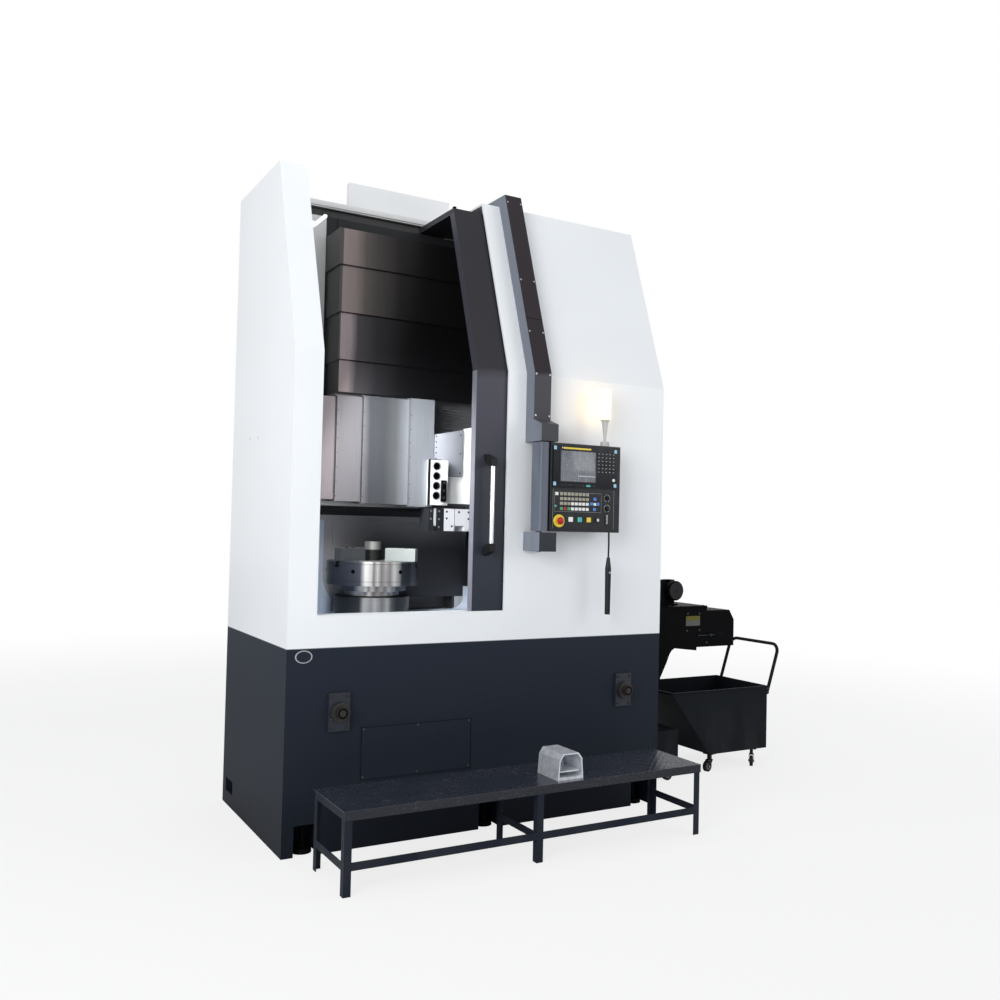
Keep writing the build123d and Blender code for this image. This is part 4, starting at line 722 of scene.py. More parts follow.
class Finish(Enum):
    """Every finish of the machine."""

    WHITE = Paint("white_paint", (0.85, 0.875, 0.90), 0.38, 0.02, coat=0.08)
    # Painted shade: a slightly darker copy of the white paint, for the right side and the roof.
    WHITE_SHADED = Paint("white_paint_shaded", (0.845, 0.855, 0.87), 0.42, 0.02)
    # Painted shade: darker towards the floor.
    BASE = GradedSheet(
        "base_paint",
        (
            (0.0, (0.0085, 0.011, 0.017)),
            (0.30, (0.012, 0.016, 0.025)),
            (1.00, (0.017, 0.0225, 0.035)),
        ),
        axis=2,
        rough=0.50,
        streak=0.08,
        metal=0.0,
        shine=0.10,
    )
    # Painted reflection and shade: lighter from the foot up to the knee, dark above the knee.
    DOOR = GradedSheet(
        "door_paint",
        (
            (1.13, (0.020, 0.027, 0.040)),
            (1.80, (0.040, 0.043, 0.058)),
            (2.40, (0.062, 0.062, 0.082)),
            (2.47, (0.024, 0.022, 0.028)),
            (3.43, (0.018, 0.018, 0.023)),
        ),
        axis=2,
        rough=0.36,
        streak=0.03,
        metal=0.0,
        shine=0.22,
        zones=(
            # Left side face: lighter below the knee, and painted darker above it as painted shade, like the
            # sloping face.
            Zone((0.20, 0.205, 0.24), (None, None, None), (DOOR_LEFT_X + 0.0008, None, 2.455)),
            Zone((0.050, 0.052, 0.066), (None, None, 2.455), (DOOR_LEFT_X + 0.0008, None, 3.40)),
        ),
    )
    # Painted reflection and shade: lighter from the foot up to the knee, dark above the knee.
    ARM = GradedSheet(
        "arm_paint",
        (
            (1.47, (0.026, 0.030, 0.038)),
            (2.20, (0.058, 0.058, 0.066)),
            (2.46, (0.058, 0.058, 0.070)),
            (2.48, (0.020, 0.015, 0.020)),
            (3.55, (0.020, 0.015, 0.019)),
        ),
        axis=2,
        rough=0.42,
        streak=0.03,
        metal=0.0,
        shine=0.18,
        zones=(
            Zone((0.17, 0.19, 0.23), high=(ARM_LEFT_X + 0.0008, None, None)),
            Zone((0.17, 0.19, 0.23), low=(ARM_RIGHT_X - 0.0008, None, None)),
        ),
    )
    SWIVEL = Paint("swivel_paint", (0.105, 0.12, 0.155), 0.38, 0.06, shine=0.3)
    # Painted light: lighter at the left, where light falls, dark towards the right; the white back is the
    # housing's paint.
    CABINET = GradedSheet(
        "cabinet_paint",
        (
            (-0.50, (0.15, 0.145, 0.155)),
            (-0.15, (0.11, 0.105, 0.115)),
            (0.10, (0.030, 0.031, 0.036)),
            (0.40, (0.020, 0.022, 0.027)),
            (1.70, (0.020, 0.022, 0.027)),
        ),
        rough=0.5,
        streak=0.04,
        metal=0.0,
        shine=0.2,
        zones=(Zone((0.80, 0.815, 0.83), low=(None, BACK_Y - 0.002, None)),),
    )
    # Pale blue paint, made lighter than it is to stand in for the light on the tub: painted light.
    TUB = Paint("tub_paint", (0.66, 0.75, 0.88), 0.40, 0.06, shine=0.3)
    BRACKET = Paint(
        "lift_bracket_paint",
        (0.021, 0.025, 0.034),
        0.42,
        0.10,
        shine=0.3,
        zones=(Zone((0.035, 0.031, 0.027), high=(None, -0.645, None), rough=0.4, metal=0.4),),
    )
    BLACK = Paint("black_paint", (0.0035, 0.0036, 0.0042), 0.45, 0.12, shine=0.03)
    CART = Paint("cart_paint", (0.0065, 0.0085, 0.0115), 0.45, 0.14, 0.1, shine=0.08)
    BENCH = Paint("bench_paint", (0.012, 0.016, 0.026), 0.45, 0.10, 0.1, shine=0.10)
    TREAD = WornTread("bench_tread_paint", (0.029, 0.0345, 0.050), (0.15, 0.15, 0.15))
    COLUMN = Paint(
        "column_paint",
        (0.022, 0.023, 0.026),
        0.45,
        0.10,
        shine=0.2,
        zones=(
            Zone((0.74, 0.74, 0.74), (None, 0.0, 1.70), (-0.268, 0.45, None), 0.45, soft=0.001),
            # Painted light: the lower front is light grey at the left and fades softly to dark towards the
            # right.
            Zone((0.50, 0.49, 0.50), (None, 0.0, None), (None, 0.45, 1.66), 0.45, soft=0.002),
            Zone((0.016, 0.0175, 0.021), (-0.06, 0.0, None), (None, 0.45, 1.66), 0.45, soft=0.22),
            Zone((0.80, 0.815, 0.83), low=(None, BACK_Y - 0.002, None)),
        ),
    )
    BEAM = Paint(
        "beam_paint",
        (0.050, 0.050, 0.052),
        0.42,
        0.08,
        shine=0.3,
        zones=(Zone((0.72, 0.72, 0.72), low=(None, None, 3.452)),),
    )
    # Painted reflection: light and pinkish at the left, fading to dark towards the right.
    UPPER_SHEET = GradedSheet(
        "upper_cover_sheet",
        (
            (-0.27, (0.29, 0.235, 0.23)),
            (-0.16, (0.20, 0.165, 0.16)),
            (-0.10, (0.085, 0.073, 0.071)),
            (-0.03, (0.045, 0.040, 0.040)),
            (0.10, (0.012, 0.011, 0.012)),
            (0.70, (0.008, 0.008, 0.009)),
        ),
        rough=0.34,
        metal=0.35,
        shine=0.2,
        zones=(Zone((0.075, 0.075, 0.070), high=(-0.2415, None, None), rough=0.4, metal=0.3),),
    )
    # Painted reflection: light and pinkish at the left, fading to dark towards the right.
    LOWER_SHEET = GradedSheet(
        "lower_cover_sheet",
        (
            (-0.27, (0.36, 0.30, 0.31)),
            (-0.185, (0.29, 0.245, 0.25)),
            (-0.14, (0.055, 0.050, 0.056)),
            (-0.02, (0.016, 0.015, 0.018)),
            (0.12, (0.008, 0.008, 0.009)),
            (0.70, (0.008, 0.008, 0.009)),
        ),
        rough=0.30,
        metal=0.35,
        shine=0.2,
        zones=(Zone((0.075, 0.075, 0.072), high=(-0.2415, None, None), rough=0.4, metal=0.3),),
    )
    # Painted reflection and highlights: light at the left, dark in the middle, bright bands towards the
    # right.
    SIDE_SHEET = GradedSheet(
        "side_cover_sheet",
        (
            (-0.48, (0.34, 0.30, 0.31)),
            (-0.27, (0.30, 0.265, 0.28)),
            (-0.24, (0.22, 0.21, 0.225)),
            (-0.10, (0.18, 0.175, 0.19)),
            (-0.06, (0.065, 0.068, 0.080)),
            (0.03, (0.070, 0.075, 0.083)),
            (0.10, (0.13, 0.14, 0.148)),
            (0.165, (0.33, 0.35, 0.385)),
            (0.34, (0.44, 0.47, 0.51)),
        ),
        rough=0.30,
        streak=0.10,
        metal=0.55,
    )
    GUIDE = BrushedSheet("ground_guideway", (0.30, 0.30, 0.31), (0.02, 1.0, 1.0), 0.30, 0.1, 0.8)
    HEAD = Paint(
        "head_paint",
        (0.045, 0.048, 0.054),
        0.42,
        0.06,
        shine=0.3,
        zones=(
            Zone((0.86, 0.87, 0.87), (0.384, None, 1.742), (None, 0.0, 1.902), 0.32),
            Zone((0.86, 0.87, 0.87), (0.523, None, 1.742), (None, 0.0, None), 0.32),
        ),
    )
    BLOCK_STEEL = BrushedSheet(
        "ground_steel", (0.68, 0.71, 0.70), (0.05, 1.0, 1.0), 0.36, 0.05, 0.1, 0.04
    )
    HOLDER = Paint(
        "holder_steel",
        (0.022, 0.024, 0.028),
        0.36,
        0.08,
        metal=0.2,
        zones=(Zone((0.66, 0.665, 0.70), low=(0.3825, None, None), rough=0.3, metal=0.05),),
    )
    BLUED = BrushedSheet("blued_steel", (0.10, 0.11, 0.12), (0.05, 1.0, 1.0), 0.36, 0.12, 0.4)
    JAW_BRIGHT = BrushedSheet(
        "jaw_steel", (0.34, 0.37, 0.36), (0.05, 1.0, 1.0), 0.34, 0.06, 0.3, 0.05
    )
    HANDLE = Paint(
        "handle_chrome",
        (0.010, 0.010, 0.011),
        0.35,
        0.05,
        shine=0.2,
        zones=(Zone((0.80, 0.80, 0.81), (None, None, 1.524), (None, None, 1.936), 0.14, 1.0),),
    )
    ZINC = BrushedSheet("zinc_screw", (0.46, 0.46, 0.46), (1.0, 1.0, 1.0), 0.32, 0.15, 0.9)
    DARK_SCREW = BrushedSheet("dark_screw", (0.05, 0.05, 0.055), (1.0, 1.0, 1.0), 0.36, 0.15, 0.7)
    # Painted reflections: light and dark upright bands across the chuck from left to right.
    TURNED = TurnedMetal(
        "turned_steel",
        (
            (-0.27, (0.070, 0.080, 0.100)),
            (-0.156, (0.110, 0.122, 0.150)),
            (-0.131, (0.70, 0.70, 0.68)),
            (-0.101, (0.62, 0.60, 0.60)),
            (-0.091, (0.22, 0.21, 0.21)),
            (-0.071, (0.66, 0.66, 0.65)),
            (-0.051, (0.24, 0.23, 0.23)),
            (-0.026, (0.48, 0.45, 0.44)),
            (-0.001, (0.28, 0.26, 0.27)),
            (0.024, (0.66, 0.66, 0.65)),
            (0.059, (0.46, 0.46, 0.45)),
            (0.074, (0.085, 0.095, 0.110)),
            (0.134, (0.050, 0.055, 0.065)),
            (0.154, (0.120, 0.130, 0.150)),
            (0.27, (0.040, 0.045, 0.055)),
        ),
        rough=0.34,
        band=0.15,
        top=1.4055,
        knob=1.468,
    )
    # Painted reflections: a light band left of the middle, dark at both sides.
    DRUM = TurnedMetal(
        "drum_steel",
        (
            (-0.24, (0.045, 0.050, 0.060)),
            (-0.139, (0.060, 0.062, 0.068)),
            (-0.119, (0.46, 0.46, 0.45)),
            (-0.084, (0.30, 0.29, 0.29)),
            (-0.064, (0.50, 0.49, 0.49)),
            (-0.024, (0.22, 0.22, 0.22)),
            (0.006, (0.44, 0.44, 0.43)),
            (0.031, (0.13, 0.13, 0.135)),
            (0.066, (0.045, 0.047, 0.052)),
            (0.24, (0.035, 0.037, 0.042)),
        ),
        rough=0.4,
        band=0.2,
    )
    CAST = CastMetal("cast_alloy", (0.82, 0.85, 0.90))
    BLACK_PLASTIC = Plastic("black_plastic", (0.010, 0.011, 0.014), 0.40, shine=0.25)
    PENDANT_DARK = Plastic("pendant_dark", (0.012, 0.013, 0.017), 0.42, shine=0.2)
    WHITE_PLASTIC = Plastic("white_plastic", (0.80, 0.81, 0.80), 0.35)
    CREAM_PLASTIC = Plastic("cream_plastic", (0.33, 0.31, 0.25), 0.42)
    BLUE_PLASTIC = Plastic("blue_plastic", (0.05, 0.20, 0.62), 0.35)
    PALE_BLUE_PLASTIC = Plastic("pale_blue_plastic", (0.28, 0.55, 0.72), 0.35)
    TEAL_PLASTIC = Plastic("teal_plastic", (0.05, 0.42, 0.40), 0.35)
    GREEN_PLASTIC = Plastic("green_plastic", (0.03, 0.30, 0.14), 0.35)
    RED_PLASTIC = Plastic("red_plastic", (0.42, 0.012, 0.012), 0.32, shine=0.3)
    YELLOW_PLASTIC = Plastic("yellow_plastic", (0.80, 0.60, 0.04), 0.35)
    RUBBER = Plastic("black_rubber", (0.010, 0.010, 0.011), 0.6, 0.00012, shine=0.2)
    GREY_RUBBER = Plastic("grey_rubber", (0.14, 0.14, 0.145), 0.55, 0.0001)
    # Dark joints, and painted shade where bores, holes and slots open.
    DARK_GAP = Plastic("dark_gap", (0.004, 0.004, 0.005), 0.7, shine=0.05)
    SOFT_GAP = Plastic("soft_gap", (0.25, 0.26, 0.27), 0.7, shine=0.1)
    GREY_PLATE = Paint("grey_plate", (0.40, 0.41, 0.42), 0.5, 0.04)
    HEAD_PLATE = Paint("head_plate", (0.33, 0.345, 0.39), 0.45, 0.04)
    LABEL = Paint("label_plate", (0.11, 0.11, 0.11), 0.5, 0.04, shine=0.2)
    OCHRE_PLATE = Paint("ochre_plate", (0.125, 0.105, 0.022), 0.5, 0.08, shine=0.2)
    LAMP = Glow("lit_lens", (1.0, 0.60, 0.24), 3.2, 2.31)
    LAMP_SOCKET = Plastic("lamp_socket", (0.55, 0.54, 0.52), 0.4)
    LAMP_BAR = Glow("lit_bar", (0.95, 0.97, 1.0), 1.2, 3.29, 0.2)
    SCREEN = ScreenGlass("display_glass", 0.749, 1.869, 0.232, 0.167)

    def build(self) -> bpy.types.Material:
        """The finish's material."""
        return self.value.build()


class Solid:
    """A mesh under construction; every step is a bmesh operator."""

    def __init__(self) -> None:
        """Start an empty mesh."""
        self.mesh = bmesh.new()

    def _bevel(self, verts: Sequence[bmesh.types.BMVert], width: float, segments: int) -> None:
        """Round the edges between the given vertices.

        Args:
            verts: The vertices of the new form.
            width: The bevel's width.
            segments: Its segments.
        """
        edges = list({edge for vert in verts for edge in vert.link_edges})
        sharp = [edge for edge in edges if edge.calc_face_angle(0.0) > 0.6]
        bmesh.ops.bevel(
            self.mesh,
            geom=sharp,
            offset=width,
            offset_type="OFFSET",
            affect="EDGES",
            segments=segments,
            profile=0.5,
            material=-1,
        )

    def block(self, low: Point, high: Point, bevel: float = 0.0, segments: int = 2) -> "Solid":
        """Add a block between two corners.

        Args:
            low: Lowest corner.
            high: Highest corner.
            bevel: Width of the rounded edges.
            segments: Segments of the rounding.

        Returns:
            This mesh.
        """
        size = [b - a for a, b in zip(low, high)]
        middle = [(a + b) / 2 for a, b in zip(low, high)]
        matrix = Matrix.Translation(middle) @ Matrix.Diagonal((*size, 1.0))
        verts = bmesh.ops.create_cube(self.mesh, size=1.0, matrix=matrix)["verts"]
        if bevel:
            self._bevel(verts, bevel, segments)
        return self

    def round(
        self,
        base: Point,
        facing: Facing | Point,
        radius: float,
        length: float,
        sides: int = 24,
        top: float | None = None,
        bevel: float = 0.0,
    ) -> "Solid":
        """Add a round or many-sided bar that stands on a base point.

        Args:
            base: Centre of its foot.
            facing: The direction that it points in.
            radius: Radius of its foot.
            length: Its length.
            sides: Number of sides; 6 gives a hexagon.
            top: Radius of its far end, if another.
            bevel: Width of the rounded edges.

        Returns:
            This mesh.
        """
        matrix = Matrix.Translation(base) @ turn_to(facing) @ Matrix.Translation((0, 0, length / 2))
        verts = bmesh.ops.create_cone(
            self.mesh,
            cap_ends=True,
            segments=sides,
            radius1=radius,
            radius2=radius if top is None else top,
            depth=length,
            matrix=matrix,
        )["verts"]
        if bevel:
            self._bevel(verts, bevel, 2)
        return self

    def prism(self, points: Sequence[Point], along: Point, bevel: float = 0.0) -> "Solid":
        """Add a flat outline drawn out along a direction.

        Args:
            points: The outline's corners, in order.
            along: How far and where it is drawn out.
            bevel: Width of the rounded edges.

        Returns:
            This mesh.
        """
        verts = [self.mesh.verts.new(point) for point in points]
        face = self.mesh.faces.new(verts)
        grown = bmesh.ops.extrude_face_region(self.mesh, geom=[face], use_keep_orig=True)["geom"]
        moved = [part for part in grown if isinstance(part, bmesh.types.BMVert)]
        bmesh.ops.translate(self.mesh, vec=along, verts=moved)
        if bevel:
            self._bevel(verts + moved, bevel, 2)
        return self

    def turned(
        self, profile: Sequence[Flat], centre: Point, facing: Facing | Point, steps: int = 32
    ) -> "Solid":
        """Add a form turned round an axis.

        Args:
            profile: (radius, distance along the axis) points, from one end to the other.
            centre: Where the axis starts.
            facing: The axis's direction.
            steps: Steps of the turn.

        Returns:
            This mesh.
        """
        verts = [self.mesh.verts.new((radius, 0.0, reach)) for radius, reach in profile]
        edges = [self.mesh.edges.new(pair) for pair in zip(verts, verts[1:])]
        spun = bmesh.ops.spin(
            self.mesh,
            geom=verts + edges,
            cent=(0, 0, 0),
            axis=(0, 0, 1),
            angle=math.tau,
            steps=steps,
            use_merge=True,
        )
        parts = {vert for vert in verts if vert.is_valid}
        parts |= {vert for part in spun["geom_last"] for vert in getattr(part, "verts", [])}
        every = self._island(parts)
        matrix = Matrix.Translation(centre) @ turn_to(facing)
        bmesh.ops.transform(self.mesh, matrix=matrix, verts=every)
        return self

    def tube(self, path: Sequence[Vector], radius: float, sides: int = 16) -> "Solid":
        """Add a round tube along a path, closed at both ends.

        Args:
            path: Points of its middle line.
            radius: Its radius.
            sides: Sides of its section.

        Returns:
            This mesh.
        """
        last = None
        for index, point in enumerate(path):
            before, after = path[max(index - 1, 0)], path[min(index + 1, len(path) - 1)]
            turn = (after - before).to_track_quat("Z", "X").to_matrix().to_4x4()
            ring = bmesh.ops.create_circle(
                self.mesh,
                cap_ends=index in (0, len(path) - 1),
                segments=sides,
                radius=radius,
                matrix=Matrix.Translation(point) @ turn,
            )["verts"]
            edges = {edge for vert in ring for edge in vert.link_edges}
            if last is not None:
                bmesh.ops.bridge_loops(self.mesh, edges=list(last | edges))
            last = edges
        return self

    def _island(self, seeds: set[bmesh.types.BMVert]) -> list[bmesh.types.BMVert]:
        """All vertices joined to the given ones by edges."""
        found, todo = set(seeds), list(seeds)
        while todo:
            for edge in todo.pop().link_edges:
                for vert in edge.verts:
                    if vert not in found:
                        found.add(vert)
                        todo.append(vert)
        return list(found)

    def done(
        self, name: str, finish: Finish, body: Body, slot: str, smooth: float = 0.6
    ) -> bpy.types.Object:
        """Make the object, dress it, and let it ride on its body.

        Args:
            name: The piece's name.
            finish: Its finish.
            body: The body that it rides on.
            slot: Name of the record's material slot; not used.
            smooth: Edges flatter than this angle are shaded smooth.

        Returns:
            The finished object.
        """
        bmesh.ops.remove_doubles(self.mesh, verts=self.mesh.verts, dist=1e-6)
        bmesh.ops.recalc_face_normals(self.mesh, faces=self.mesh.faces)
        data = bpy.data.meshes.new(name)
        for face in self.mesh.faces:
            face.smooth = True
        for edge in self.mesh.edges:
            edge.smooth = edge.calc_face_angle(0.0) < smooth
        self.mesh.to_mesh(data)
        self.mesh.free()
        piece = bpy.data.objects.new(name, data)
        bpy.context.scene.collection.objects.link(piece)
        piece.data.materials.append(finish.build())
        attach(piece, body.value)
        log.info("%s: %d faces", name, len(data.polygons))
        return piece


def slope_point(x: float, z: float, out: float = 0.0) -> Point:
    """Place on the leaning front above the knee.

    Args:
        x: Place across the front.
        z: Height.
        out: Distance that the place stands out towards the front.

    Returns:
        The point.
    """
    return (x, FRONT_Y - out + LEAN * (z - KNEE_Z), z)


@dataclass
class Studio:
    """White floor and backdrop, soft lamps and the camera.

    Attributes:
        floor_size: Side of the floor in metres.
        lens: The camera's focal length in millimetres.
        sensor: Width of its sensor in millimetres.
        yaw: Turn of the camera from straight ahead towards the right, in degrees.
        pitch: Its tilt upwards, in degrees.
        roll: Its turn about its own line of sight, in degrees.
        eye: Its place.
        sky: Strength of the soft light from all round.
        floor_lift: How far the floor near the machine is lifted to white.
    """

    floor_size: float = 60.0
    lens: float = 34.65
    sensor: float = 36.0
    yaw: float = 29.82
    pitch: float = 1.60
    roll: float = 1.33
    eye: Point = (-2.118, -5.146, 1.613)
    sky: float = 0.5
    floor_lift: float = 0.78

    def camera(self) -> None:
        """Place the camera where the photographer stood."""
        yaw, pitch, roll = (math.radians(angle) for angle in (self.yaw, self.pitch, self.roll))
        level = math.cos(pitch)
        ahead = Vector((math.sin(yaw) * level, math.cos(yaw) * level, math.sin(pitch)))
        right = Vector((math.cos(yaw), -math.sin(yaw), 0.0))
        up = right.cross(ahead)
        across = right * math.cos(roll) + up * math.sin(roll)
        above = up * math.cos(roll) - right * math.sin(roll)
        turn = Matrix((across, above, -ahead)).transposed().to_4x4()
        data = bpy.data.cameras.new("camera")
        data.lens = self.lens
        data.sensor_width = self.sensor
        data.clip_end = 200.0
        camera = bpy.data.objects.new("camera", data)
        camera.matrix_world = Matrix.Translation(self.eye) @ turn
        bpy.context.scene.collection.objects.link(camera)
        bpy.context.scene.camera = camera

    def world(self) -> None:
        """White to the camera and in reflections, soft grey as light."""
        world = bpy.data.worlds.new("studio")
        world.use_nodes = True
        tree = world.node_tree
        tree.nodes.clear()
        path = tree.nodes.new("ShaderNodeLightPath")
        seen = path.outputs["Is Camera Ray"]
        for ray in ("Is Glossy Ray", "Is Transmission Ray"):
            either = tree.nodes.new("ShaderNodeMath")
            either.operation = "MAXIMUM"
            tree.links.new(seen, either.inputs[0])
            tree.links.new(path.outputs[ray], either.inputs[1])
            seen = either.outputs[0]
        soft, white = (tree.nodes.new("ShaderNodeBackground") for _ in range(2))
        soft.inputs[0].default_value = (0.94, 0.97, 1.0, 1.0)
        soft.inputs[1].default_value = self.sky
        white.inputs[0].default_value = (1.0, 1.0, 1.0, 1.0)
        white.inputs[1].default_value = 1.0
        mix = tree.nodes.new("ShaderNodeMixShader")
        out = tree.nodes.new("ShaderNodeOutputWorld")
        tree.links.new(seen, mix.inputs[0])
        tree.links.new(soft.outputs[0], mix.inputs[1])
        tree.links.new(white.outputs[0], mix.inputs[2])
        tree.links.new(mix.outputs[0], out.inputs[0])
        bpy.context.scene.world = world

    def floor(self) -> None:
        """A pale floor that keeps a soft shadow and fades to white further out."""
        mesh = bmesh.new()
        bmesh.ops.create_grid(mesh, x_segments=1, y_segments=1, size=self.floor_size / 2)
        data = bpy.data.meshes.new("floor")
        mesh.to_mesh(data)
        mesh.free()
        floor = bpy.data.objects.new("floor", data)
        bpy.context.scene.collection.objects.link(floor)
        shader = Shader("floor_white")
        away = shader.node("ShaderNodeVectorMath", {"operation": "LENGTH"}, {0: shader.place()}, 1)
        fade = away.over(6.5, 3.5) * (1.0 - self.floor_lift) + self.floor_lift
        seen = shader.node("ShaderNodeLightPath", output="Is Camera Ray")
        matt = shader.node("ShaderNodeBsdfDiffuse", None, {0: (0.80, 0.80, 0.80, 1.0)})
        glow = shader.node("ShaderNodeEmission", None, {0: (1.0, 1.0, 1.0, 1.0)})
        mix = shader.node("ShaderNodeMixShader", None, {0: fade * seen, 1: matt, 2: glow})
        shader.node("ShaderNodeOutputMaterial", None, {0: mix})
        data.materials.append(shader.material)

    def lamp(
        self, name: str, place: Point, aim: Point, size: Flat, power: float, spread: float = 180.0
    ) -> None:
        """Add one soft area lamp.

        Args:
            name: The lamp's name.
            place: Where it hangs.
            aim: The point that it looks at.
            size: Its width and height.
            power: Its power in watts.
            spread: Widest angle of its beam in degrees.
        """
        data = bpy.data.lights.new(name, "AREA")
        data.spread = math.radians(spread)
        data.shape = "RECTANGLE"
        data.size, data.size_y = size
        data.energy = power
        lamp = bpy.data.objects.new(name, data)
        lamp.visible_camera = False
        lamp.visible_glossy = size[0] > 1.0
        turn = (Vector(aim) - Vector(place)).to_track_quat("-Z", "Y").to_matrix().to_4x4()
        lamp.matrix_world = Matrix.Translation(place) @ turn
        bpy.context.scene.collection.objects.link(lamp)

    def build(self) -> None:
        """Build the studio."""
        self.camera()
        self.world()
        self.floor()
        self.lamp("key", (-5.2, -4.8, 3.2), (0.0, -0.4, 1.7), (3.6, 3.6), 282.0)
        self.lamp("fill", (5.5, -6.0, 3.5), (0.8, -0.3, 1.4), (3.5, 3.5), 88.0)
        self.lamp("top", (0.0, -0.6, 6.5), (0.0, 0.0, 2.0), (3.0, 3.0), 30.0)
        self.lamp("work_light", (-0.40, -0.44, 2.30), (0.35, -0.05, 1.72), (0.16, 0.7), 11.5, 96.0)
        bpy.context.scene.view_settings.view_transform = "Standard"


@dataclass
class HandCable:
    """The short cable from which the hand unit hangs.

    Attributes:
        x: Its place across the pendant.
        y: Its depth.
        top: Where it leaves the pendant.
        length: Its length.
        diameter: Its diameter.
    """

    x: float = 1.1213
    y: float = -0.738
    top: float = 1.595
    length: float = 0.140
    diameter: float = 0.010

    def build(self) -> None:
        """Build the cable as one smooth hanging line."""
        data = bpy.data.curves.new("hand_cable", "CURVE")
        data.dimensions = "3D"
        data.bevel_depth = self.diameter / 2
        data.bevel_resolution = 4
        data.use_fill_caps = True
        spline = data.splines.new("NURBS")
        sway = (0.0, 0.0, 0.0012, 0.0012, 0.0, 0.0)
        spline.points.add(len(sway) - 1)
        for index, (point, offset) in enumerate(zip(spline.points, sway)):
            height = self.top - self.length * index / (len(sway) - 1)
            point.co = (self.x + offset, self.y, height, 1.0)
        spline.order_u = 3
        spline.use_endpoint_u = True
        cable = bpy.data.objects.new("hand_cable", data)
        bpy.context.scene.collection.objects.link(cable)
        data.materials.append(Finish.RUBBER.build())
        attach(cable, Body.PENDANT.value)
        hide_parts("hand_unit_cord")
        log.info("hand_cable: %.3f m", self.length)


@dataclass(frozen=True)
class Screws:
    """Like socket-head screws that ride on one body.

    Attributes:
        radius: Radius of a head.
        height: How far a head stands out.
        facing: The direction in which the heads look.
        body: The body that they ride on.
        slot: The record's material slot.
        finish: Their finish.
        sunk: How far their feet are sunk in.
    """

    radius: float
    height: float = 0.004
    facing: Facing | Point = Facing.FRONT
    body: Body = Body.HOUSING
    slot: str = "dark_steel"
    finish: Finish = Finish.DARK_SCREW
    sunk: float = 0.001

    def build(self, name: str, places: Sequence[Point]) -> bpy.types.Object:
        """Build the screws as one piece.

        Args:
            name: The piece's name.
            places: The middles of the heads' feet, on the surface.

        Returns:
            The finished piece.
        """
        solid = Solid()
        high, wide = self.height, self.radius
        profile = [
            (0.0, high * 0.3),
            (wide * 0.5, high * 0.3),
            (wide * 0.5, high),
            (wide * 0.88, high),
            (wide, high * 0.8),
            (wide, -self.sunk),
            (0.0, -self.sunk),
        ]
        for place in places:
            solid.turned(profile, place, self.facing, 12)
        return solid.done(name, self.finish, self.body, self.slot)


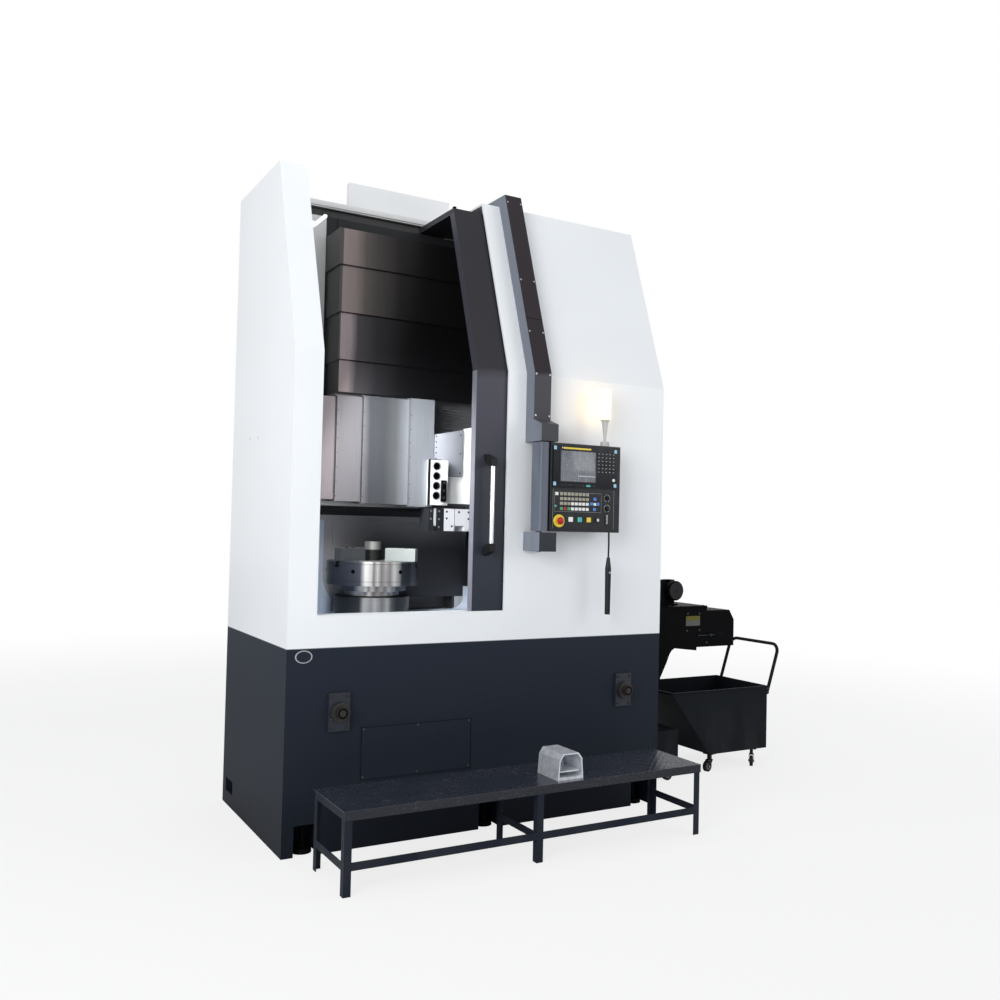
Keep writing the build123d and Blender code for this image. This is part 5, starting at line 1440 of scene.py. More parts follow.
@dataclass(frozen=True)
class Housing:
    """Seams, screws, blank plate and small fittings on the fixed sheet-metal housing.

    Attributes:
        seam: Width of the dark line between two sheets.
        base_seam: Lower and upper edge of the line over the dark base.
        panel: Left, lower, right and upper edge of the access panel.
        badge: Middle of the blank oval plate on the base.
        badge_size: Half width and half height of that plate.
    """

    seam: float = 0.003
    base_seam: Flat = (0.9985, 1.0015)
    panel: tuple[float, float, float, float] = (-0.290, 0.335, 0.328, 0.595)
    badge: Flat = (-0.5995, 0.961)
    badge_size: Flat = (0.0435, 0.031)

    def seams(self) -> None:
        """Dark lines along the edges of the sheets."""
        half, proud = self.seam / 2, 0.0004
        start, end = self.base_seam
        lines = Solid()
        lines.block((LEFT_X, FRONT_Y - proud, start), (RIGHT_X, FRONT_Y, end))
        lines.block((LEFT_X - proud, FRONT_Y, start), (LEFT_X, BACK_Y, end))
        lines.block((RIGHT_X, FRONT_Y, start), (RIGHT_X + proud, BACK_Y, end))
        for x in (-0.10, 0.42, 1.02):
            lines.block((x - half / 2, BACK_Y, 0.004), (x + half / 2, BACK_Y + proud, 3.40))
        lines.done("housing_seams", Finish.SOFT_GAP, Body.HOUSING, "dark_paint")
        left, low, right, high = self.panel
        frame_lines = Solid()
        sheet = FRONT_Y - 0.0035
        for x in (left, right):
            frame_lines.block((x - half, sheet, low), (x + half, FRONT_Y, high))
        for z in (low, high):
            frame_lines.block((left, sheet, z - half), (right, FRONT_Y, z + half))
        frame_lines.done("access_panel_seams", Finish.DARK_GAP, Body.HOUSING, "dark_paint")

    def fittings(self) -> None:
        """Blank oval plate, hanger clip, vent slats and the grey plate beside the chute."""
        x, z = self.badge
        wide, high = self.badge_size
        turns = [math.tau * step / 40 for step in range(40)]
        for name, share, proud, finish in (
            ("blank_plate", 1.0, 0.0022, Finish.GREY_PLATE),
            ("blank_plate_field", 0.86, 0.0028, Finish.BASE),
        ):
            outline = [
                (x + share * wide * math.cos(turn), FRONT_Y, z + share * high * math.sin(turn))
                for turn in turns
            ]
            plate = Solid().prism(outline, (0.0, -proud, 0.0))
            plate.done(name, finish, Body.HOUSING, "dark_steel")
        clip = Solid().block((0.361, -0.206, 3.432), (0.379, -0.186, 3.462), 0.003)
        clip.block((0.3555, -0.212, 3.427), (0.388, -0.180, 3.435), 0.002)
        clip.done("door_hanger_clip", Finish.BLACK, Body.DOOR, "dark_steel")
        slats = Solid()
        for row in range(3):
            z = 0.075 + 0.020 * row
            slats.block((LEFT_X + 0.001, -0.560, z), (LEFT_X + 0.006, -0.500, z + 0.008), 0.001)
        slats.done("vent_slats", Finish.BASE, Body.HOUSING, "dark_paint")
        plate = Solid().block((0.673, 0.268, 1.095), (0.735, 0.2785, 1.169), 0.001)
        plate.done("chute_side_plate", Finish.GREY_PLATE, Body.HOUSING, "grey_paint")

    def screws(self) -> None:
        """Screws of the panels."""
        sheet = FRONT_Y - 0.003
        left, low, right, high = self.panel
        across = (left + 0.012, (left + right) / 2, right - 0.012)
        places = [(x, sheet, z) for z in (high - 0.010, low + 0.012) for x in across]
        Screws(0.0075, 0.003).build("access_panel_screws", places)
        Screws(0.010, 0.006).build("base_corner_bolt", [(-0.470, FRONT_Y + 0.139, 0.086)])
        side = Screws(0.008, 0.003, Facing.LEFT, slot="white_paint", finish=Finish.ZINC)
        sunk = LEFT_X + 0.0026
        side.build("left_wall_screws", [(sunk, 0.143, 2.066), (sunk, -0.015, 2.063)])
        edge = Screws(0.006, 0.003, Facing.RIGHT, slot="white_paint", finish=Finish.ZINC)
        heights = [1.12 + 0.32 * row for row in range(7)]
        edge.build("right_wall_screws", [(RIGHT_X, y, z) for z in heights for y in (0.02, 0.455)])
        roof = Screws(0.006, 0.003, Facing.UP, slot="white_paint", finish=Finish.ZINC)
        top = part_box("right_side_panel")[1].z
        places = [(x, y, top) for x in (0.60, 0.90, 1.20, 1.50) for y in (-0.10, 0.46)]
        roof.build("roof_screws", places)

    def build(self) -> None:
        """Build the housing's details."""
        self.seams()
        self.fittings()
        self.screws()


@dataclass(frozen=True)
class LiftPoints:
    """Bolts and the hollow bar end of the two lifting points on the base.

    Attributes:
        places: Middles of the two plates across the front.
        height: Height of the middles.
        plate: Half width and half height of the bolt pattern.
        face: Depth of the plate's face.
        tip: Depth of the bar's end.
    """

    places: Flat = (-0.414, 1.324)
    height: float = 0.685
    plate: Flat = (0.041, 0.077)
    face: float = -0.636
    tip: float = -0.684

    def build(self) -> None:
        """Build both lifting points."""
        wide, high = self.plate
        bolts = [
            (x + dx, self.face, self.height + dz)
            for x in self.places
            for dx in (-wide, wide)
            for dz in (-high, high)
        ]
        Screws(0.0085, 0.007).build("lift_plate_bolts", bolts)
        bore, bar, foot = 0.017, 0.026, -0.012
        hollow = [(0.0, -0.010), (bore, -0.010), (bore, 0.0004), (bar, 0.0004), (bar, foot), (0.0, foot)]
        rim = [(0.0445, 0.0), (0.0445, 0.0012), (0.0475, 0.0008), (0.0475, 0.0), (0.0445, 0.0)]
        ends, edges = Solid(), Solid()
        for x in self.places:
            ends.turned(hollow, (x, self.tip, self.height), Facing.FRONT, 28)
            edges.turned(rim, (x, self.face - 0.026, self.height), Facing.FRONT, 36)
        ends.done("lifting_bar_ends", Finish.BLACK, Body.HOUSING, "black_oxide")
        edges.done("lift_flange_edges", Finish.DARK_SCREW, Body.HOUSING, "black_oxide")


@dataclass(frozen=True)
class ArmFittings:
    """Cover screws, joint line and pivot nut of the pendant arm.

    Attributes:
        left: Place of the left screw row.
        right: Place of the right screw row.
        out: How far the arm's face stands before the housing.
        joint: Height of the joint between its two sheets.
        overhang: How far the joint line stands out past the arm's sides.
        pivot: Place of the pendant's pivot, seen from above.
    """

    left: float = 0.640
    right: float = 0.728
    out: float = 0.082
    joint: float = 2.778
    overhang: float = 0.0003
    pivot: Flat = (0.659, -0.732)

    def build(self) -> None:
        """Build the arm's fittings."""
        face = FRONT_Y - self.out
        straight = [(x, face, z) for z in (2.453, 2.226) for x in (self.left, self.right)]
        Screws(0.0055, 0.0025, finish=Finish.ZINC).build("arm_screws", straight)
        slope = [
            slope_point(x, z, self.out) for z in (2.70, 3.01, 3.50) for x in (self.left, self.right)
        ]
        Screws(0.0055, 0.0025, Facing.SLOPE, finish=Finish.ZINC).build("arm_slope_screws", slope)
        low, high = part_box("pendant_arm")
        x, y, z = slope_point(low.x - self.overhang, self.joint, self.out)
        outline = [
            (x, y - 0.0006, z),
            (x, y + 0.0015, z),
            (x, y + 0.0022, z + 0.0025),
            (x, y + 0.0003, z + 0.0025),
        ]
        line = Solid().prism(outline, (high.x - low.x + 2 * self.overhang, 0.0, 0.0))
        line.done("arm_joint_line", Finish.DARK_GAP, Body.HOUSING, "dark_paint")
        nut = Solid().round((*self.pivot, low.z - 0.0035), Facing.UP, 0.012, 0.004, 6)
        nut.done("pivot_pin_nut", Finish.DARK_SCREW, Body.HOUSING, "dark_steel")


@dataclass(frozen=True)
class DisplayUnit:
    """Upper half of the pendant: glass, side keys, corner stickers and a stripe.

    Attributes:
        face: Depth of the unit's face.
        left: Left edge of the face.
        right: Right edge of the face.
        low: Lower edge.
        high: Upper edge.
        key: Width and height of a side key.
        key_pitch: Distance from key to key, across and down.
        key_grid: Number of side keys across and down.
        glass: Left, lower, right and upper edge of the glass.
        bezel: Width of the rim round the glass.
    """

    face: float = -0.795
    left: float = 0.7033
    right: float = 1.1273
    low: float = 1.838
    high: float = 2.062
    key: Flat = (0.0195, 0.0150)
    key_pitch: Flat = (0.0250, 0.0200)
    key_grid: tuple[int, int] = (5, 6)
    glass: tuple[float, float, float, float] = (0.749, 1.869, 0.981, 2.036)
    bezel: float = 0.006

    def build(self) -> None:
        """Build the display unit."""
        face, wide = self.face, self.bezel
        left, low, right, high = self.glass
        pad = Solid().block(
            (self.left, face - 0.0006, self.low), (self.right, face + 0.001, self.high), 0.0005
        )
        pad.done("display_face", Finish.PENDANT_DARK, Body.PENDANT, "black_plastic")
        glass = Solid().block((left, face - 0.0016, low), (right, face, high), 0.0004)
        glass.done("display_glass", Finish.SCREEN, Body.PENDANT, "black_plastic")
        rim = Solid()
        for x in (left - wide, right):
            rim.block((x, face - 0.004, low - wide), (x + wide, face, high + wide), 0.0006, 1)
        for z in (low - wide, high):
            rim.block((left, face - 0.004, z), (right, face, z + wide), 0.0006, 1)
        rim.done("display_bezel", Finish.BLACK_PLASTIC, Body.PENDANT, "black_plastic")
        self.keys()
        self.marks()

    def keys(self) -> None:
        """Dark side keys, each with a small light mark, and the row under the glass."""
        keys, marks = Solid(), Solid()
        wide, high = self.key
        front = self.face - 0.0032
        for column in range(self.key_grid[0]):
            for row in range(self.key_grid[1]):
                x = 0.991 + column * self.key_pitch[0]
                z = 2.037 - row * self.key_pitch[1]
                keys.block((x, front, z - high), (x + wide, self.face, z), 0.0008, 1)
                marks.block(
                    (x + 0.005, front - 0.0003, z - 0.0095), (x + 0.013, front + 0.0002, z - 0.0060)
                )
        for column in range(10):
            x = 0.7515 + column * 0.0232
            keys.block((x, front, 1.8425), (x + 0.018, self.face, 1.8555), 0.0008, 1)
        keys.done("display_keys", Finish.BLACK_PLASTIC, Body.PENDANT, "black_plastic")
        marks.done("display_key_marks", Finish.GREY_PLATE, Body.PENDANT, "black_plastic")

    def marks(self) -> None:
        """Coloured corner stickers, the stripe over the glass and two round buttons."""
        stickers = Solid()
        for x, z in ((0.7129, 2.0484), (0.7125, 1.8538), (1.1160, 2.0480), (1.1150, 1.8569)):
            stickers.block(
                (x - 0.009, self.face - 0.0012, z - 0.0100), (x + 0.009, self.face, z + 0.0100), 0.0003, 1
            )
        stickers.done("corner_stickers", Finish.PALE_BLUE_PLASTIC, Body.PENDANT, "black_plastic")
        stripe = Solid().block((0.7656, self.face - 0.0012, 2.0455), (0.9476, self.face, 2.0545))
        stripe.done("display_stripe", Finish.YELLOW_PLASTIC, Body.PENDANT, "black_plastic")
        buttons = Solid().round((1.1034, self.face, 1.8866), Facing.FRONT, 0.0085, 0.005, 24, bevel=0.001)
        buttons.round((0.7584, self.face, 2.0505), Facing.FRONT, 0.0035, 0.0022, 16)
        buttons.done("display_buttons", Finish.WHITE_PLASTIC, Body.PENDANT, "black_plastic")
        teal = Solid().block((0.919, self.face - 0.0036, 1.8430), (0.9455, self.face, 1.8550), 0.0008, 1)
        teal.done("display_teal_key", Finish.TEAL_PLASTIC, Body.PENDANT, "black_plastic")


@dataclass(frozen=True)
class KeyPanel:
    """Lower half of the pendant: key rows, jog keys, rotary switches and large buttons.

    Attributes:
        face: Depth of the panel's face.
        first: Place of the first key's middle across the panel.
        pitch: Distance from key to key.
        rows: Heights of the four rows' middles.
        key: Half width and half height of a key.
        proud: How far a key stands out.
    """

    face: float = -0.792
    first: float = 0.7608
    pitch: float = 0.0243
    rows: tuple[float, float, float, float] = (1.8000, 1.7740, 1.7480, 1.7200)
    key: Flat = (0.0092, 0.0082)
    proud: float = 0.0035

    def _key(self, solid: Solid, x: float, z: float, wide: float = 1.0, high: float = 1.0) -> None:
        """Add one key.

        Args:
            solid: The mesh that takes it.
            x: Its middle across the panel.
            z: Its height.
            wide: Factor on its width.
            high: Factor on its height.
        """
        half, tall = self.key[0] * wide, self.key[1] * high
        low = (x - half, self.face - self.proud, z - tall)
        solid.block(low, (x + half, self.face + 0.001, z + tall), 0.001, 1)

    def build(self) -> None:
        """Build the key panel."""
        cream, white, green = Solid(), Solid(), Solid()
        red, blue, teal, yellow = Solid(), Solid(), Solid(), Solid()
        columns = [self.first + self.pitch * index for index in range(8)]
        self._key(white, 0.7296, self.rows[0])
        for x in columns:
            self._key(cream, x, self.rows[0])
            self._key(cream, x, self.rows[1])
        for index, x in enumerate(columns):
            self._key(cream if index < 3 else white, x, self.rows[2])
            last = (green, red, green)[index] if index < 3 else white
            self._key(last, x, self.rows[3])
        for x, z in ((0.9812, 1.778), (0.9596, 1.7508), (1.0027, 1.7508), (0.9800, 1.7210)):
            self._key(blue, x, z)
        self._key(white, 0.9812, 1.7495, 0.9, 0.9)
        self._key(white, 0.8231, 1.6625, 1.5, 1.6)
        self._key(teal, 0.8830, 1.6625, 1.5, 1.6)
        self._key(yellow, 0.9428, 1.6625, 1.5, 1.6)
        teal.round((0.7225, self.face, 1.733), Facing.FRONT, 0.006, 0.004, 20, bevel=0.001)
        for name, solid, finish in (
            ("cream_keys", cream, Finish.CREAM_PLASTIC),
            ("white_keys", white, Finish.WHITE_PLASTIC),
            ("green_keys", green, Finish.GREEN_PLASTIC),
            ("red_key", red, Finish.RED_PLASTIC),
            ("jog_keys", blue, Finish.BLUE_PLASTIC),
            ("teal_keys", teal, Finish.TEAL_PLASTIC),
            ("yellow_key", yellow, Finish.YELLOW_PLASTIC),
        ):
            solid.done(name, finish, Body.PENDANT, "black_plastic")
        self.switches()
        self.lines()

    def switches(self) -> None:
        """Two rotary switches with scale arcs, the key switch and the slotted port."""
        knobs, dials = Solid(), Solid()
        for z in (1.7854, 1.7286):
            knobs.round((1.065, self.face, z), Facing.FRONT, 0.0115, 0.014, 28, 0.0095, 0.001)
            knobs.block((1.0635, self.face - 0.0155, z - 0.009), (1.0665, self.face - 0.013, z + 0.009))
            for step in range(11):
                turn = math.radians(-150 + 30 * step)
                x, up = 1.065 + 0.0195 * math.sin(turn), z + 0.0195 * math.cos(turn)
                dials.round((x, self.face, up), Facing.FRONT, 0.0017, 0.0006, 8)
        knobs.round((1.0003, self.face, 1.6625), Facing.FRONT, 0.0150, 0.006, 28, 0.0135, 0.001)
        knobs.block((1.0533, self.face - 0.004, 1.6390), (1.0733, self.face, 1.6960), 0.001, 1)
        for z in (1.7400, 1.6760):
            knobs.round((1.1533, -0.765, z), Facing.RIGHT, 0.0090, 0.011, 20, bevel=0.001)
        knobs.done("rotary_switches", Finish.BLACK_PLASTIC, Body.PENDANT, "black_plastic")
        dials.done("switch_scales", Finish.WHITE_PLASTIC, Body.PENDANT, "black_plastic")
        inlay = Solid().round((1.0003, self.face - 0.006, 1.6625), Facing.FRONT, 0.0085, 0.0012, 24)
        inlay.block((1.0590, self.face - 0.0046, 1.6430), (1.0676, self.face - 0.0036, 1.6920))
        inlay.done("key_switch_face", Finish.ZINC, Body.PENDANT, "bright_steel")
        # Painted shade: dark slits stand for the key slot and the port's slot.
        slot = Solid().block((0.9993, self.face - 0.0076, 1.6575), (1.0013, self.face - 0.0070, 1.6675))
        slot.block((1.0615, self.face - 0.0050, 1.6470), (1.0650, self.face - 0.0045, 1.6880))
        slot.done("key_switch_slot", Finish.DARK_GAP, Body.PENDANT, "black_plastic")

    def lines(self) -> None:
        """Thin light outline round the keys, and the two upright edge lines."""
        lines = Solid()
        front, back = self.face - 0.0003, self.face + 0.0003
        left, right, low, high = 0.7150, 1.0243, 1.7040, 1.8085
        for x in (left, right):
            lines.block((x, front, low), (x + 0.0009, back, high))
        for z in (low, high):
            lines.block((left, front, z), (right, back, z + 0.0009))
        for x in (0.7050, 1.1105):
            lines.block((x, front, 1.6110), (x + 0.0009, back, 1.8270))
        lines.done("panel_lines", Finish.GREY_PLATE, Body.PENDANT, "black_plastic")


@dataclass(frozen=True)
class StopButton:
    """Domed red head of the emergency button and its yellow ring.

    Attributes:
        ring: Outer radius of the yellow ring.
        face: Depth of the panel on which the ring lies.
    """

    ring: float = 0.0345
    face: float = -0.792

    def build(self) -> None:
        """Build the button's head and ring."""
        low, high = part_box("emergency_button")
        x, z = (low.x + high.x) / 2, (low.z + high.z) / 2
        radius = (high.x - low.x) / 2
        tip = low.y
        profile = [
            (0.0, 0.0),
            (radius * 0.55, -0.0006),
            (radius * 0.85, -0.0032),
            (radius, -0.0075),
            (radius * 0.97, -0.0112),
            (radius * 0.55, -0.0126),
            (0.0090, -0.0130),
            (0.0090, tip - high.y),
            (0.0, tip - high.y),
        ]
        head = Solid().turned(profile, (x, tip, z), Facing.FRONT, 36)
        piece = head.done("stop_button_head", Finish.RED_PLASTIC, Body.STOP_BUTTON, "red_plastic", 0.9)
        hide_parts("emergency_button")
        well, proud = 0.0130, 0.0084
        ring = Solid().turned(
            [
                (well, 0.0),
                (well, proud),
                (self.ring - 0.002, proud),
                (self.ring, proud - 0.002),
                (self.ring, 0.0),
                (well, 0.0),
            ],
            (x, self.face, z),
            Facing.FRONT,
            40,
        )
        ring.done("stop_button_ring", Finish.YELLOW_PLASTIC, Body.PENDANT, "black_plastic")


@dataclass(frozen=True)
class SignalLight:
    """Lit lens on a pole, with its base and the lens's ribs.

    Attributes:
        x: Its place across the pendant.
        y: Its depth.
        base_top: Height at which the base ends.
        pole_top: Height at which the lens starts.
        pole: Radius of the pole.
    """

    x: float = 1.0803
    y: float = -0.738
    base_top: float = 2.106
    pole_top: float = 2.224
    pole: float = 0.008

    def build(self) -> None:
        """Build the light in the place of its plain solid."""
        low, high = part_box("signal_lamp")
        lens_radius = (high.x - low.x) / 2
        foot_radius = lens_radius * 0.86
        centre = (self.x, self.y, 0.0)
        base = self.pole_top + 0.006
        socket = Solid().turned(
            [
                (0.0, low.z),
                (foot_radius, low.z),
                (foot_radius, self.base_top - 0.004),
                (foot_radius - 0.004, self.base_top),
                (self.pole, self.base_top),
                (self.pole, self.base_top + 0.020),
                (lens_radius * 0.62, self.pole_top - 0.004),
                (lens_radius * 0.9, self.pole_top),
                (lens_radius * 0.9, base),
                (0.0, base),
            ],
            centre,
            Facing.UP,
            32,
        )
        foot = socket.done("lamp_socket", Finish.LAMP_SOCKET, Body.PENDANT, "lamp_white", 0.5)
        ribs = 18
        step = (high.z - 0.010 - self.pole_top - 0.006) / ribs
        profile = [(0.0, base)]
        for rib in range(ribs):
            height = base + rib * step
            profile += [
                (lens_radius, height),
                (lens_radius, height + step * 0.7),
                (lens_radius - 0.0012, height + step * 0.85),
            ]
        profile += [(lens_radius, high.z - 0.010), (lens_radius - 0.008, high.z), (0.0, high.z)]
        lens = Solid().turned(profile, centre, Facing.UP, 40)
        lens.done("lamp_lens", Finish.LAMP, Body.PENDANT, "lamp_white", 0.5)
        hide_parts("signal_lamp")


@dataclass(frozen=True)
class HandUnitFittings:
    """Rings and thumb button of the hand unit.

    Attributes:
        x: Its place across the pendant.
        y: Its depth.
    """

    x: float = 1.1213
    y: float = -0.738

    def build(self) -> None:
        """Build the hand unit's fittings."""
        low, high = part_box("hand_unit")
        radius = (high.x - low.x) / 2
        rings = Solid()
        for reach in (0.012, 0.022, 0.200, 0.206, 0.212, 0.218, 0.224):
            profile = [
                (radius - 0.004, low.z + reach),
                (radius - 0.0004, low.z + reach + 0.001),
                (radius - 0.0004, low.z + reach + 0.003),
                (radius - 0.004, low.z + reach + 0.004),
            ]
            rings.turned([*profile, profile[0]], (self.x, self.y, 0.0), Facing.UP, 28)
        rings.done("hand_unit_rings", Finish.RUBBER, Body.PENDANT, "black_rubber")
        thumb = (self.x, self.y - radius + 0.002, high.z - 0.085)
        button = Solid().round(thumb, Facing.FRONT, 0.006, 0.004, 20)
        button.done("hand_unit_button", Finish.GREY_PLATE, Body.PENDANT, "black_plastic")


@dataclass(frozen=True)
class HeadFittings:
    """Face plate, clamp and screws of the tool head, block and holders.

    Attributes:
        face: Depth of the head's face.
        holder_face: Depth of the holders' face.
        bore_x: Place of the bores across the block.
        bore_heights: Heights of the four bores' middles.
    """

    face: float = -0.080
    holder_face: float = -0.130
    bore_x: float = 0.331
    bore_heights: tuple[float, ...] = tuple(1.956 - 0.057 * index for index in range(4))

    def build(self) -> None:
        """Build the fittings of the tool slide."""
        self.plate()
        self.block()
        self.holders()

    def plate(self) -> None:
        """Grey face plate with its screws, and the dark clamp."""
        top = 2.148 - 0.004
        outline = [
            (0.337, self.face, 2.000),
            (0.384, self.face, 2.000),
            (0.384, self.face, 1.904),
            (0.523, self.face, 1.904),
            (0.523, self.face, top + 0.040),
            (0.337, self.face, top),
        ]
        plate = Solid().prism(outline, (0.0, -0.004, 0.0), 0.001)
        plate.done("head_face_plate", Finish.HEAD_PLATE, Body.TOOL_SLIDE, "machined_steel")
        front = self.face - 0.004
        tool = Screws(0.0045, 0.0015, body=Body.TOOL_SLIDE)
        tool.build("face_plate_screws", [(0.345, front, 2.133 - 0.032 * row) for row in range(5)])
        Screws(0.009, 0.003, body=Body.TOOL_SLIDE).build("face_plate_bolt", [(0.407, front, 1.964)])
        corner = [(0.505, front, z) for z in (2.150, 2.040, 1.925)]
        tool.build("face_plate_edge_screws", corner)
        clamp_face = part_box("tool_block")[0].y - 0.012
        clamp = Solid().block((0.359, clamp_face, 1.752), (0.390, self.face - 0.010, 1.875), 0.002)
        clamp.done("head_clamp", Finish.BLACK, Body.TOOL_SLIDE, "black_oxide")
        heights = (1.775, 1.815, 1.860)
        dark = Screws(0.008, 0.004, body=Body.TOOL_SLIDE, finish=Finish.DARK_SCREW)
        dark.build("head_clamp_bolts", [(0.3745, clamp_face, z) for z in heights])
        boss = self.face - 0.014
        line = Solid().block((0.384, boss - 0.0006, 1.7385), (0.620, boss, 1.7425))
        line.done("head_gap_line", Finish.DARK_GAP, Body.TOOL_SLIDE, "black_oxide")

    def block(self) -> None:
        """Rims of the bores, dark sleeves of painted shade inside them, the clamp screws beside them, and
        the edge strip.
        """
        low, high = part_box("tool_block")
        deep, wall = 0.0196, 0.0199
        rim = [
            (0.0203, -0.001),
            (0.0203, 0.0012),
            (0.0232, 0.0012),
            (0.0240, 0.0),
            (0.0240, -0.001),
            (0.0203, -0.001),
        ]
        # Painted shade: a dark sleeve lines each bore and closes it at the back.
        sleeve = [
            (deep, 0.0),
            (deep, -0.030),
            (0.0, -0.030),
            (0.0, -0.031),
            (wall, -0.031),
            (wall, 0.0),
            (deep, 0.0),
        ]
        rims, sleeves = Solid(), Solid()
        for z in self.bore_heights:
            rims.turned(rim, (self.bore_x, low.y, z), Facing.FRONT, 32)
            sleeves.turned(sleeve, (self.bore_x, low.y, z), Facing.FRONT, 32)
        rims.done("bore_rims", Finish.BLUED, Body.TOOL_SLIDE, "machined_steel")
        sleeves.done("bore_shade_sleeves", Finish.DARK_GAP, Body.TOOL_SLIDE, "black_oxide")
        screws = [(low.x, low.y * 0.5 + high.y * 0.5, z) for z in self.bore_heights]
        Screws(0.008, 0.003, Facing.LEFT, Body.TOOL_SLIDE).build("bore_clamp_screws", screws)
        near, far = low.y + 0.002, low.y + 0.030
        edge = Solid().block((low.x - 0.004, near, low.z), (low.x + 0.001, far, high.z))
        edge.block((low.x, near, high.z - 0.001), (low.x + 0.060, far, high.z + 0.004))
        edge.done("block_edge_strip", Finish.BLACK, Body.TOOL_SLIDE, "black_oxide")

    def holders(self) -> None:
        """Groove and screws of the dark holder, joint and holes of the bright one."""
        y = self.holder_face
        groove = Solid().block((0.317, y - 0.0006, 1.611), (0.333, y + 0.001, 1.710))
        groove.done("holder_groove", Finish.GREY_PLATE, Body.TOOL_SLIDE, "machined_steel")
        places = [(x, y, z) for x in (0.300, 0.352) for z in (1.696, 1.650)] + [(0.352, y, 1.604)]
        Screws(0.006, 0.003, body=Body.TOOL_SLIDE, finish=Finish.ZINC).build("dark_holder_screws", places)
        holes = [(0.402, y, 1.694), (0.402, y, 1.655), (0.436, y, 1.610)]
        holes += [(0.545, y, 1.694), (0.545, y, 1.655), (0.482, y, 1.694)]
        Screws(0.0065, 0.0015, body=Body.TOOL_SLIDE).build("bright_holder_screws", holes)
        joint = Solid().block((0.4515, y - 0.0005, 1.584), (0.4540, y + 0.001, 1.710))
        joint.block((0.3815, y - 0.0005, 1.584), (0.3835, y + 0.001, 1.710))
        joint.done("holder_joints", Finish.DARK_GAP, Body.TOOL_SLIDE, "black_oxide")


@dataclass(frozen=True)
class ChuckFittings:
    """Rim lines, dark discs of painted shade for the wrench holes, face screws of the chuck, and the bolts
    of its jaws.

    Attributes:
        rim: Radius of the chuck.
        top: Height of its face.
        hole_height: Height of the wrench holes in its rim.
        circle: Radius of the circle of face screws.
        jaw_path: Half width of the strip that a jaw needs.
    """

    rim: float = 0.260
    top: float = 1.405
    hole_height: float = 1.350
    circle: float = 0.205
    jaw_path: float = 0.075

    def build(self) -> None:
        """Build the chuck's fittings."""
        rings = Solid()
        for height in (1.2960, 1.3925):
            rings.turned(
                [
                    (self.rim - 0.001, height - 0.0008),
                    (self.rim + 0.0003, height - 0.0008),
                    (self.rim + 0.0003, height + 0.0008),
                    (self.rim - 0.001, height + 0.0008),
                    (self.rim - 0.001, height - 0.0008),
                ],
                (0.0, 0.0, 0.0),
                Facing.UP,
                96,
            )
        rings.done("chuck_rim_lines", Finish.DARK_SCREW, Body.CHUCK, "dark_steel", 0.5)
        # Painted shade: a dark disc on the rim stands for each wrench hole.
        for index, degrees in enumerate((224.0, 284.0, 344.0, 44.0, 104.0, 164.0)):
            turn = math.radians(degrees)
            out = (math.cos(turn), math.sin(turn), 0.0)
            place = (self.rim * out[0], self.rim * out[1], self.hole_height)
            Screws(0.011, 0.0015, out, Body.CHUCK, finish=Finish.DARK_GAP).build(
                f"chuck_rim_hole_shade_{index + 1}", [place]
            )
        turns = [math.radians(angle) for angle in range(25, 385, 40)]
        circle = [
            (self.circle * math.cos(turn), self.circle * math.sin(turn), self.top) for turn in turns
        ]
        face = Screws(0.008, 0.002, Facing.UP, Body.CHUCK)
        face.build("chuck_face_screws", self._clear_of_jaws(circle))
        for index, body in enumerate((Body.JAW_A, Body.JAW_B, Body.JAW_C)):
            low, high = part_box(f"chuck_jaw_{index + 1}")
            middle = Vector(((low.x + high.x) / 2, (low.y + high.y) / 2, 0.0))
            out = middle.normalized()
            up = Vector((0.0, 0.0, high.z))
            places = [tuple(middle + out * reach + up) for reach in (-0.024, 0.024)]
            Screws(0.010, 0.004, Facing.UP, body).build(f"jaw_bolts_{index + 1}", places)

    def _clear_of_jaws(self, places: Sequence[Point]) -> list[Point]:
        """The places that lie outside every jaw's path."""
        kept = []
        for place in places:
            spot = Vector(place)
            clear = True
            for index in range(3):
                low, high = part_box(f"chuck_jaw_{index + 1}")
                line = Vector(((low.x + high.x) / 2, (low.y + high.y) / 2, 0.0)).normalized()
                along = spot.x * line.x + spot.y * line.y
                across = abs(spot.x * line.y - spot.y * line.x)
                clear = clear and not (along > 0 and across < self.jaw_path)
            if clear:
                kept.append(place)
        return kept


